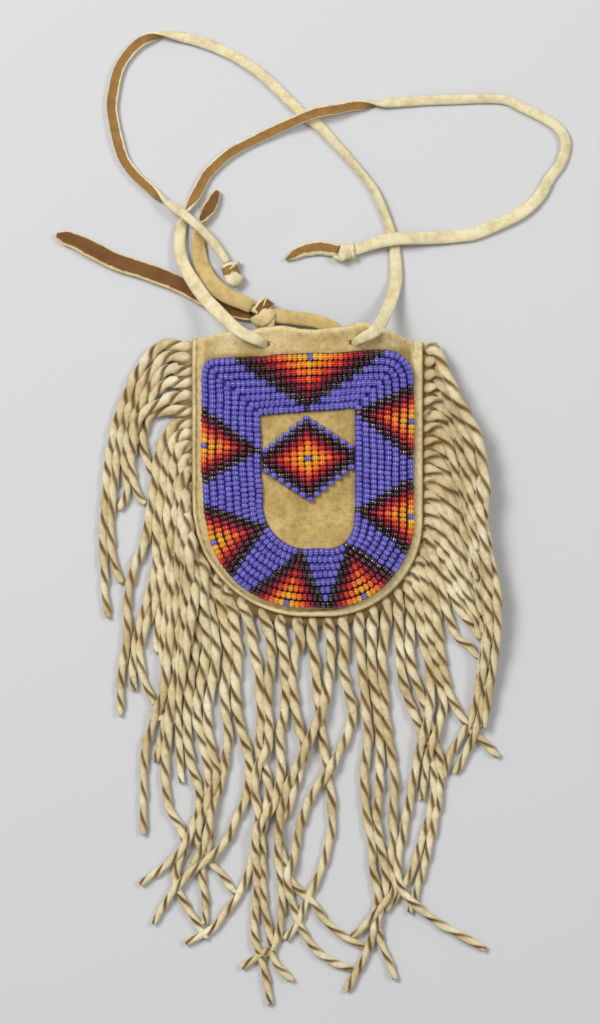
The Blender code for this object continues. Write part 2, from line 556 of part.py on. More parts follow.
def cut(obj, cutter, operation="DIFFERENCE"):
    boolean = obj.modifiers.new(cutter.name, "BOOLEAN")
    boolean.operation = operation
    boolean.object = cutter


def slit_cutter(name, centre, length, width, guides):
    """A block through the leather where a thong passes."""
    bm = bmesh.new()
    bmesh.ops.create_cube(bm, size=1.0)
    mesh = mesh_from_bmesh(name, bm)
    cutter = add_guide(name, mesh, guides)
    cutter.location = (centre.x, centre.y, 0)
    cutter.scale = (length, width, CUTTER_LENGTH)
    return cutter


def build_front_panel(parts, guides, material):
    depths = [0, 0.2, 0.5, 0.8, 1.0, 1.7, 2.8, 4.2, 5.9, 8.0, 9.6]
    mesh = panel_mesh("front_panel", [share * RIM_WIDTH for share in depths], front_height)
    panel = add_object("front_panel", mesh, material, parts)
    thicken(panel, LEATHER)
    length = LACE_WIDTH * SLIT_SQUEEZE + 2 * SLIT_CLEARANCE + LACE_THICKNESS
    width = LACE_THICKNESS + 2 * SLIT_CLEARANCE
    for name, centre in (("left_slit", LEFT_SLIT_CENTRE), ("right_slit", RIGHT_SLIT_CENTRE)):
        cut(panel, slit_cutter(name, centre, length, width, guides))
    return panel


def build_back_panel(parts, guides, material):
    depths = [0, 2.8, 5.9, 9.6]
    mesh = panel_mesh(
        "back_panel", [share * RIM_WIDTH for share in depths], lambda point: seam_height(point.y)
    )
    panel = add_object("back_panel", mesh, material, parts)
    thicken(panel, LEATHER)
    length = LACE_WIDTH * SLIT_SQUEEZE + 2 * BACK_SLIT_CLEARANCE + LACE_THICKNESS
    width = LACE_THICKNESS + 2 * BACK_SLIT_CLEARANCE
    for name, x in (("back_left_slit", -BACK_SLIT_X), ("back_right_slit", BACK_SLIT_X)):
        cut(panel, slit_cutter(name, Vector((x, BACK_SLIT_Y)), length, width, guides))
    return panel


def bead_band_mesh():
    """The whole band of bead rows as one ridged ring, which the colour fields share."""

    def ring(rows_in, lift):
        row = Row(rows_in * ROW_PITCH)
        line = row.sides(row.top_at(-row.half), SIDE_STEPS, CORNER_STEPS, FLOOR_STEPS)
        for k in range(SIDE_STEPS + 1):
            share = k / SIDE_STEPS
            y = row.right.y + (row.top_at(row.half) - row.right.y) * share
            line[k - SIDE_STEPS - 1] = Vector((row.half, y))
        for k in range(1, TOP_STEPS):
            x = row.half * math.cos(math.pi * k / TOP_STEPS)
            line.append(Vector((x, row.top_at(x))))
        return [(*point, front_height(point) + BEAD_CLEARANCE + lift) for point in line]

    rings = []
    for half_row in range(2 * ROW_COUNT + 1):
        groove = ROW_GROOVE if half_row % 2 == 0 else 0.0
        rings.append(ring(half_row / 2, BEAD_HEIGHT - groove))
    for rows_in in range(ROW_COUNT, -1, -1):
        rings.append(ring(rows_in, 0.0))
    return loft("bead_band", rings, closed_loops=True, join_ends=True)


def prism(name, outline, guides):
    """An upright block over a flat outline, taller than the pouch."""
    bm = bmesh.new()
    face = bm.faces.new([bm.verts.new((*point, 0.0)) for point in outline])
    grown = bmesh.ops.extrude_face_region(bm, geom=[face])
    lifted = [item for item in grown["geom"] if isinstance(item, bmesh.types.BMVert)]
    bmesh.ops.translate(bm, vec=(0, 0, CUTTER_LENGTH), verts=lifted)
    return add_guide(name, mesh_from_bmesh(name, bm), guides)


def motif_axis(name, rows_in):
    """Where a motif's middle line crosses a row, as an arc length on that row."""
    beads = -MOTIF_BEADS / 2
    for motif, (before, point) in SIDE_MOTIFS.items():
        beads += before + MOTIF_BEADS
        if motif == name:
            break
    base = OUTERMOST_ROW.at(beads * BEAD_PITCH)
    tip = INNERMOST_ROW.at(point * INNERMOST_ROW.length)
    share = (rows_in - 0.5) / (ROW_COUNT - 1)
    return Row(rows_in * ROW_PITCH).along(base + (tip - base) * share)


def top_axis(rows_in, from_right=False):
    base, tip = TOP_MOTIF_OFFSETS
    x = base + (tip - base) * (rows_in - 0.5) / (ROW_COUNT - 1)
    row = Row(rows_in * ROW_PITCH)
    return row.length + row.half - x if from_right else -(x + row.half)


class Motif:
    """A stepped triangle on the band, its base on the outer outline."""

    def __init__(self, name, axis, beads_per_row):
        self.name = name
        self.axis = axis
        self.step = BEAD_PITCH * beads_per_row

    def half(self, rows_in, ring):
        """Half its width at a row, at the given ring of colour from its edge."""
        return (ROW_COUNT - max(rows_in, BASE_ROWS) - ring) * self.step

    def side(self, ring, sign, margin):
        """Points up one side of a ring of colour, from outside the band to the ring's tip."""
        tip = ROW_COUNT - ring + margin / self.step
        levels = [-0.5] + [k for k in (BASE_ROWS, 3.2, 5.3, 7.3) if k < tip - 0.2]
        points = []
        for rows_in in levels + [tip]:
            reach = self.half(rows_in, ring) + margin
            row = Row(rows_in * ROW_PITCH)
            points.append(row.at(self.axis(rows_in) + sign * reach))
        return points

    def ring_outline(self, first_ring, last_ring):
        """Outline of a chevron of colour, or of the whole middle where there is no last ring."""
        gap = 0.6 * CLEARANCE
        outline = self.side(first_ring, -1, -gap) + self.side(first_ring, 1, -gap)[-2::-1]
        if last_ring is not None:
            outline += self.side(last_ring, 1, gap) + self.side(last_ring, -1, gap)[-2::-1]
        return outline


def arc_between(rows_in, start, end, steps=8):
    """Points along a row between two arc lengths, with any corner of the band between them."""
    row = Row(rows_in * ROW_PITCH)
    arcs = [start + (end - start) * k / steps for k in range(1, steps)]
    for corner in (0.0, row.length):
        if min(start, end) < corner < max(start, end):
            arcs.append(corner)
    return [row.at(arc) for arc in sorted(arcs, reverse=end < start)]


def ground_outline(before, after):
    """Outline of the plain ground between one motif and the next."""
    gap = 0.6 * CLEARANCE
    rise = before.side(0, 1, gap)
    fall = after.side(0, -1, gap)
    outer = -0.5
    inner = ROW_COUNT + 0.4
    start = before.axis(inner) + gap
    end = after.axis(inner) - gap
    outline = rise[:-1] + [Row(inner * ROW_PITCH).at(start)]
    outline += arc_between(inner, start, end)
    outline += [Row(inner * ROW_PITCH).at(end)] + fall[-2::-1]
    fall_end = after.axis(outer) - after.half(outer, 0) - gap
    rise_end = before.axis(outer) + before.half(outer, 0) + gap
    outline += arc_between(outer, fall_end, rise_end)
    return outline


def add_field(name, outline, mesh, material, parts, guides):
    field = add_object(name, mesh, material, parts)
    cut(field, prism(name + "_outline", outline, guides), "INTERSECT")
    return field


def build_band(parts, guides, materials):
    mesh = bead_band_mesh()
    motifs = [
        Motif(name, lambda rows_in, name=name: motif_axis(name, rows_in), 1)
        for name in SIDE_MOTIFS
    ]
    top_from_left = Motif("top", top_axis, 2)
    top_from_right = Motif("top", lambda rows_in: top_axis(rows_in, True), 2)
    for motif in [top_from_left] + motifs:
        rings = (("dark", 0, DARK_STEPS), ("red", DARK_STEPS, RED_STEPS), ("gold", RED_STEPS, BEAD_STEPS))
        for colour, first, last in rings:
            name = f"{motif.name}_{colour}_beads"
            add_field(name, motif.ring_outline(first, last), mesh, materials[colour], parts, guides)
        name = f"{motif.name}_blue_bead"
        add_field(name, motif.ring_outline(BEAD_STEPS, None), mesh, materials["blue"], parts, guides)
    around = [top_from_left] + motifs + [top_from_right]
    for before, after in zip(around, around[1:]):
        name = f"ground_{before.name}_to_{after.name}"
        add_field(name, ground_outline(before, after), mesh, materials["blue"], parts, guides)


def diamond_mesh():
    """The diamond's columns of beads as one ridged patch."""
    reach = (DIAMOND_HALF_BEADS + 1.5) * BEAD_PITCH
    levels = [reach * k / 3 for k in range(-3, 4)]
    loops = []
    for half_column in range(2 * COLUMN_COUNT + 1):
        x = DIAMOND_CENTRE.x + (half_column / 2 - COLUMN_COUNT / 2) * COLUMN_PITCH
        groove = ROW_GROOVE if half_column % 2 == 0 else 0.0
        line = [Vector((x, DIAMOND_CENTRE.y + level)) for level in levels]
        upper = [(*point, front_height(point) + BEAD_CLEARANCE + BEAD_HEIGHT - groove) for point in line]
        lower = [(*point, front_height(point) + BEAD_CLEARANCE) for point in line]
        loops.append(upper + lower[::-1])
    return loft("diamond_band", loops, closed_loops=True, join_ends=False)


def diamond_corner(ring, margin, upwards, side):
    """A ring's corner points from the top or bottom to one side, cut off where the columns end."""
    beads = DIAMOND_HALF_BEADS + 0.75 - ring
    edge = COLUMN_COUNT / 2
    high = beads * BEAD_PITCH + margin
    columns = beads + margin / BEAD_PITCH
    if columns <= edge:
        return [(0.0, upwards * high), (side * columns * COLUMN_PITCH, 0.0)]
    cut_off = high * (1 - edge / columns)
    reach = (edge + 0.3) * COLUMN_PITCH
    return [(0.0, upwards * high), (side * reach, upwards * cut_off)]


def diamond_outline(ring, margin):
    outline = []
    for upwards, side in ((1, 1), (-1, 1), (-1, -1), (1, -1)):
        corner = diamond_corner(ring, margin, upwards, side)
        outline += corner if upwards == side else corner[::-1]
    return [DIAMOND_CENTRE + Vector(point) for point in dict.fromkeys(outline)]


def diamond_edging(upwards):
    """The one-bead edging over or under the diamond."""
    gap = 0.5 * CLEARANCE
    points = []
    for side in (-1, 1):
        outer = diamond_corner(0, 0.0, upwards, side)
        points += outer[::-1] if side == -1 else outer
    for side in (1, -1):
        inner = diamond_corner(1, gap, upwards, side)
        points += inner[::-1] if side == 1 else inner
    return [DIAMOND_CENTRE + Vector(point) for point in dict.fromkeys(points)]


def ring_between(name, ring, next_ring, mesh, material, parts, guides):
    gap = 0.5 * CLEARANCE
    field = add_field(name, diamond_outline(ring, -gap), mesh, material, parts, guides)
    cut(field, prism(name + "_middle", diamond_outline(next_ring, gap), guides))
    return field


def build_diamond(parts, guides, materials):
    mesh = diamond_mesh()
    for name, upwards in (("diamond_upper_edging", 1), ("diamond_lower_edging", -1)):
        add_field(name, diamond_edging(upwards), mesh, materials["blue"], parts, guides)
    dark_end = 1 + DARK_STEPS
    red_end = 1 + RED_STEPS
    ring_between("diamond_dark_beads", 1, dark_end, mesh, materials["dark"], parts, guides)
    ring_between("diamond_red_beads", dark_end, red_end, mesh, materials["red"], parts, guides)
    ring_between(
        "diamond_gold_beads", red_end, DIAMOND_HALF_BEADS, mesh, materials["gold"], parts, guides
    )
    centre = diamond_outline(DIAMOND_HALF_BEADS, -0.5 * CLEARANCE)
    add_field("diamond_centre_bead", centre, mesh, materials["blue"], parts, guides)


def welt_mesh():
    """The strip of leather sewn between the panels' edges, from inside the seam to outside it."""
    loops = []
    outer = Row(-RIM_WIDTH - WELT_OUTSIDE)
    inner = Row(-RIM_WIDTH + WELT_INSIDE)
    lines = [row.sides(lip_at(EDGE.half), SIDE_STEPS, CORNER_STEPS, FLOOR_STEPS) for row in (outer, inner)]
    for out, within in zip(*lines):
        low = [seam_height(point.y) + CLEARANCE for point in (out, within)]
        loops.append(
            [
                (*out, low[0]),
                (*within, low[1]),
                (*within, low[1] + LEATHER),
                (*out, low[0] + LEATHER),
            ]
        )
    return loft("fringed_welt", loops, closed_loops=True, join_ends=False)


def clear_of_edge(point, radius):
    """A point of a strand, moved out of the pouch's edge by the strand's own radius where it lies in it."""
    wanted = radius + CLEARANCE
    for _ in range(4):
        lack = wanted + inside(point)
        if lack <= 0:
            return point
        step = 0.05 * MM
        slope = Vector(
            (
                inside(point + Vector((step, 0))) - inside(point - Vector((step, 0))),
                inside(point + Vector((0, step))) - inside(point - Vector((0, step))),
            )
        )
        point = point - slope.normalized() * lack
    return point


def lay_strands():
    """Each strand as places and radii, laid one after another: it lies on the floor or on those under it."""
    laid = []
    for flat_route in STRAND_ROUTES:
        first = Vector(flat_route[0]) * MM
        root_row = Row(-RIM_WIDTH - STRAND_ROOT_RADIUS - CLEARANCE)
        root = root_row.at(root_row.along(first))
        shift = (root - first) / MM
        moved = [(x + shift.x, y + shift.y, 0) for x, y in flat_route]
        route = even_route(moved, STRAND_STEP)
        strand = []
        for k, place in enumerate(route):
            share = k / (len(route) - 1)
            radius = STRAND_ROOT_RADIUS + (STRAND_TIP_RADIUS - STRAND_ROOT_RADIUS) * share
            flat = clear_of_edge(Vector((place.x, place.y)), radius)
            height = radius + 0.05 * MM
            for other in laid:
                for there, size in other:
                    apart = (flat - there.xy).length
                    if apart < radius + size:
                        height = max(height, there.z + math.sqrt((radius + size) ** 2 - apart**2))
            height = min(height, (2 * MOST_LAYERS - 1) * STRAND_ROOT_RADIUS)
            if k == 0:
                height = seam_height(flat.y) + CLEARANCE + LEATHER / 2
                height = max(height, radius + 0.05 * MM)
            strand.append((Vector((flat.x, flat.y, height)), radius))
        laid.append(strand)
    return laid


def tube_mesh(name, routes, resolution):
    """Round tubes along routes of places and radii, as one mesh of closed tubes."""
    curve = bpy.data.curves.new(name, "CURVE")
    curve.dimensions = "3D"
    curve.bevel_depth = 1.0
    curve.bevel_resolution = resolution
    curve.use_fill_caps = True
    for route in routes:
        spline = curve.splines.new("POLY")
        spline.points.add(len(route) - 1)
        for point, (place, radius) in zip(spline.points, route):
            point.co = (*place, 1)
            point.radius = radius
    return mesh_of_curve(name, curve)


def mesh_of_curve(name, curve):
    """A curve's shape as a mesh with its caps welded on."""
    holder = bpy.data.objects.new(name + "_curve", curve)
    bpy.context.scene.collection.objects.link(holder)
    bpy.context.view_layer.update()
    depsgraph = bpy.context.evaluated_depsgraph_get()
    mesh = bpy.data.meshes.new_from_object(holder.evaluated_get(depsgraph))
    mesh.materials.clear()
    bpy.data.objects.remove(holder)
    bm = bmesh.new()
    bm.from_mesh(mesh)
    bmesh.ops.remove_doubles(bm, verts=bm.verts, dist=0.001 * MM)
    bmesh.ops.recalc_face_normals(bm, faces=bm.faces)
    bm.to_mesh(mesh)
    bm.free()
    return mesh


def keep_largest_shell(bm):
    """Fills the small pockets sealed between strands, which are shells of their own."""
    shells = []
    seen = set()
    for seed in bm.faces:
        if seed in seen:
            continue
        shell = [seed]
        seen.add(seed)
        for face in shell:
            for edge in face.edges:
                if len(edge.link_faces) != 2:
                    continue
                for other in edge.link_faces:
                    if other not in seen:
                        seen.add(other)
                        shell.append(other)
        shells.append(shell)
    shells.sort(key=len)
    for shell in shells[:-1]:
        bmesh.ops.delete(bm, geom=shell, context="FACES")


def build_fringed_welt(parts, guides, material):
    strip = add_guide("welt_strip", welt_mesh(), guides)
    strands = add_guide("fringe_strands", tube_mesh("fringe_strands", lay_strands(), 1), guides)
    union = strip.modifiers.new("fringe", "BOOLEAN")
    union.operation = "UNION"
    union.object = strands
    union.use_self = True
    bpy.context.view_layer.update()
    depsgraph = bpy.context.evaluated_depsgraph_get()
    mesh = bpy.data.meshes.new_from_object(strip.evaluated_get(depsgraph))
    mesh.name = "fringed_welt"
    strip.modifiers.clear()
    bm = bmesh.new()
    bm.from_mesh(mesh)
    bmesh.ops.triangulate(bm, faces=bm.faces)
    bmesh.ops.dissolve_degenerate(bm, dist=0.002 * MM, edges=bm.edges)
    keep_largest_shell(bm)
    bm.to_mesh(mesh)
    bm.free()
    return add_object("fringed_welt", mesh, material, parts)


def lace_section(name, width, thickness, guides):
    """A flat lace's cross-section, with its edges rounded off."""
    curve = bpy.data.curves.new(name, "CURVE")
    curve.dimensions = "2D"
    edge = thickness * 0.3
    half_width, half = width / 2, thickness / 2
    corners = [
        (-half_width, half - edge),
        (-half_width + edge, half),
        (half_width - edge, half),
        (half_width, half - edge),
        (half_width, edge - half),
        (half_width - edge, -half),
        (-half_width + edge, -half),
        (-half_width, edge - half),
    ]
    spline = curve.splines.new("POLY")
    spline.points.add(len(corners) - 1)
    for point, (x, y) in zip(spline.points, corners):
        point.co = (x, y, 0, 1)
    spline.use_cyclic_u = True
    return add_guide(name, curve, guides)


def squeeze_at(place, squeezed):
    """A lace's share of its full section: less where it passes a slit."""
    if not squeezed:
        return 1.0
    near = min((place.xy - centre).length for centre in squeezed)
    hidden = place.y < lip_at(place.x) and abs(place.x) < BACK_SLIT_X + 3 * MM
    share = 0.0 if hidden else smooth_step((near - 2.5 * MM) / (5 * MM))
    return SLIT_SQUEEZE + (1 - SLIT_SQUEEZE) * share


def build_lace(name, route, section, squeezed, material, parts):
    curve = bpy.data.curves.new(name, "CURVE")
    curve.dimensions = "3D"
    curve.twist_mode = "Z_UP"
    curve.bevel_mode = "OBJECT"
    curve.bevel_object = section
    curve.use_fill_caps = True
    places = smooth_route(route, LACE_STEP)
    spline = curve.splines.new("POLY")
    spline.points.add(len(places) - 1)
    for point, place in zip(spline.points, places):
        point.co = (*place, 1)
        point.radius = squeeze_at(place, squeezed)
    return add_object(name, curve, material, parts)


def knot_mesh(name, knot):
    middle, half_sizes = (Vector(values) * MM for values in knot)
    bm = bmesh.new()
    bmesh.ops.create_uvsphere(bm, u_segments=12, v_segments=8, radius=1.0)
    bmesh.ops.scale(bm, vec=half_sizes, verts=bm.verts)
    bmesh.ops.translate(bm, vec=middle, verts=bm.verts)
    return mesh_from_bmesh(name, bm)


def build_thongs(parts, guides, cream, tan, brown):
    lace = lace_section("lace_section", LACE_WIDTH, LACE_THICKNESS, guides)
    strap = lace_section("strap_section", STRAP_WIDTH, LACE_THICKNESS, guides)
    front_slits = (LEFT_SLIT_CENTRE, RIGHT_SLIT_CENTRE)
    back_slits = (Vector((-BACK_SLIT_X, BACK_SLIT_Y)), Vector((BACK_SLIT_X, BACK_SLIT_Y)))
    build_lace("front_thong", FRONT_THONG_ROUTE, lace, front_slits, cream, parts)
    build_lace("back_thong_loop", BACK_LOOP_ROUTE, lace, back_slits, tan, parts)
    build_lace("back_thong_long_end", LONG_END_ROUTE, strap, (), brown, parts)
    build_lace("back_thong_short_end", SHORT_END_ROUTE, lace, (), tan, parts)
    add_object("front_thong_left_knot", knot_mesh("left_knot", LEFT_KNOT), cream, parts)
    add_object("back_thong_knot", knot_mesh("back_knot", BACK_KNOT), tan, parts)
    knot = add_object("front_thong_right_knot", knot_mesh("right_knot", RIGHT_KNOT), cream, parts)
    tail_curve = build_lace("right_tail", RIGHT_TAIL_ROUTE, lace, (), cream, guides)
    tail_data = tail_curve.data
    bpy.data.objects.remove(tail_curve)
    tail = add_guide("right_knot_tail", mesh_of_curve("right_knot_tail", tail_data), guides)
    cut(knot, tail, "UNION")


def main():
    clear_scene()
    parts = new_collection("beaded_medicine_bag")
    guides = new_collection("guides")
    guides.hide_render = True
    tan = new_material("smoked_buckskin", LEATHER_TAN, 0.85)
    cream = new_material("pale_buckskin", LEATHER_CREAM, 0.85)
    brown = new_material("brown_suede", SUEDE_BROWN, 0.95)
    beads = {
        "blue": new_material("blue_glass_beads", BEAD_BLUE, 0.25),
        "dark": new_material("dark_metallic_beads", BEAD_DARK, 0.2, 0.4),
        "red": new_material("red_glass_beads", BEAD_RED, 0.25),
        "gold": new_material("orange_and_yellow_glass_beads", BEAD_GOLD, 0.25),
    }
    build_back_panel(parts, guides, tan)
    build_front_panel(parts, guides, tan)
    build_fringed_welt(parts, guides, cream)
    build_band(parts, guides, beads)
    build_diamond(parts, guides, beads)
    build_thongs(parts, guides, cream, tan, brown)


main()
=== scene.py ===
"""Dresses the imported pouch: sewn beads, soft leather, twisted fringe and thongs, seen from above."""

import math
import random

import bmesh
import bpy
from mathutils import Matrix, Vector, noise


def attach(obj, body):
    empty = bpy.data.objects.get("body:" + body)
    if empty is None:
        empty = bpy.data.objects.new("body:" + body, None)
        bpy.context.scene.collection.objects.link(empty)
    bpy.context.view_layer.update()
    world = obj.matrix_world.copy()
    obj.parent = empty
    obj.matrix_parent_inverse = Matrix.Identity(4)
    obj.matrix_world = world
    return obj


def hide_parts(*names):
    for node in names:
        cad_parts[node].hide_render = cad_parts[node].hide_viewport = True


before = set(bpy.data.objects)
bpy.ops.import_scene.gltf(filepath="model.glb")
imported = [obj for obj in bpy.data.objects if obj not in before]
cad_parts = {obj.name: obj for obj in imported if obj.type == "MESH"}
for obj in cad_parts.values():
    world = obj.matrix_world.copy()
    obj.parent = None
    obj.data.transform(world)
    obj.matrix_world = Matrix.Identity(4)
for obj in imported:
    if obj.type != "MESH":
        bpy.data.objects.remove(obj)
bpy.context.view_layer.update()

MM = 0.001

# Makes the wander of the bead rows and the strands the same in every run
WANDER_SEED = 7

# The pouch's own sizes, as its solids have them
BEADWORK_WIDTH = 63.3 * MM
BEADWORK_HEIGHT = 76.2 * MM
LEFT_CORNER_RADIUS = 31.2 * MM
RIGHT_CORNER_RADIUS = 26.0 * MM
TOP_TILT = 0.035
ROW_COUNT = 8
ROW_PITCH = 2.2 * MM
BEAD_PITCH = 1.53 * MM
LEATHER = 1.3 * MM
CLEARANCE = 0.3 * MM
RIM_WIDTH = 3.1 * MM
CROWN = 5.2 * MM
CROWN_RUN = 7.0 * MM
LIP_Y = 44.1 * MM
MOUTH_FLARE = 3.6 * MM
FLARE_LENGTH = 15.6 * MM
BACK_LIP_LIFT = 1.7 * MM
LIFT_LENGTH = 12.0 * MM
LIFT_FROM_LIP = 8.0 * MM
STRAND_ROOT_RADIUS = 1.9 * MM
STRAND_TIP_RADIUS = 1.35 * MM
STRAND_TWIST_TIGHT = 0.8
WELT_OUTSIDE = 2.8 * MM
WELT_INSIDE = 2.4 * MM
SEAM_TOP = LIP_Y - 2.6 * MM

# The fringe: how many strands hang from the left side and the bottom, and how they settle
LEFT_STRANDS = 20
BOTTOM_STRANDS = 13
STRAND_STEP = 2.3 * MM
HIGHEST_STRAND = 12 * MM
FLOOR_GAP = 0.05 * MM
NEAR_STRAND = 4 * MM
STACK_ROOM = 0.9
SETTLING_CELL = 3.4 * MM
SETTLING_TURNS = 90
LAST_TURNS = 20
SINK = 0.06 * MM
LAST_SINK = 0.01 * MM
SOFT_ROOM = 0.86
PUSH_SHARE = 0.32
HOME_PULL = 0.88
SMALLEST_GAP = 1e-6
LAP_LENGTHS = (13.5 * MM, 17.5 * MM)
ROOT_GROWTH = 3.4 * MM
CUT_TIP = 1.1 * MM
STRAND_FLATNESS = 0.88

# The slits for the thongs: their middles and sizes, millimetres
FRONT_SLITS = [(-12.9, 40.7), (14.2, 41.2)]
FRONT_SLIT = (3.1, 1.3)
BACK_SLITS = [(-12.3, 39.6), (12.3, 39.6)]
BACK_SLIT = (7.5, 4.5)

# The rim's stitches, and the band's top edge on the leather, millimetres at the middle and its tilt
STITCH_PITCH = 3.3 * MM
BAND_TOP = 38.1
BAND_TOP_TILT = 0.045

# How far from each top corner the band's outer row starts to bend: left, then right
LEFT_EASE = 4.0 * MM
RIGHT_EASE = 9.6 * MM
SHARPEST_EASE = 0.9 * MM

# Glass beads: a real 11/0 bead is a short barrel
BEAD_RADIUS = 1.1 * MM
BEAD_LENGTH = 1.5 * MM
BEAD_LIFT = 1.2 * MM
BEAD_ROUNDING = 0.52 * MM
THREAD_LIFT = 0.75 * MM

# The motifs' colours, from their edges to their bright middles
MOTIF_COLOURS = ["hematite", "dark", "maroon", "red", "orange", "amber", "yellow", "blue"]
RING_NAMES = ["dark", "dark", "red", "red", "gold", "gold", "gold"]
MOTIF_AXES = {
    "left_upper": ((-31.65, 10.6), (-14.05, 8.7)),
    "left_lower": ((-27.5, -18.5), (-13.1, -13.5)),
    "bottom_left": ((-6.2, -36.5), (-2.1, -21)),
    "bottom_right": ((17.3, -36), (13.1, -20)),
    "right_lower": ((31.65, -11.2), (15.6, -8.9)),
    "right_upper": ((31.65, 16.9), (14.05, 19.6)),
}
TOP_AXIS = ((1.05, 38.1), (-0.15, 20.5))
DIAMOND_CENTRE = (0.2, 6.4)
DIAMOND_TILT = math.radians(2.6)
DIAMOND_PITCH = 2.13

# The mouth's front edge, from one side to the other, millimetres
LIP_LINE = [(-36, 42.3), (-30.8, 42.9), (-24.8, 44.1), (-17.3, 44.3), (-12.8, 45.2), (-7.4, 45.6),
            (0.8, 44.4), (8.9, 45.1), (16.7, 46.6), (22.7, 45), (31.7, 42), (36, 41)]

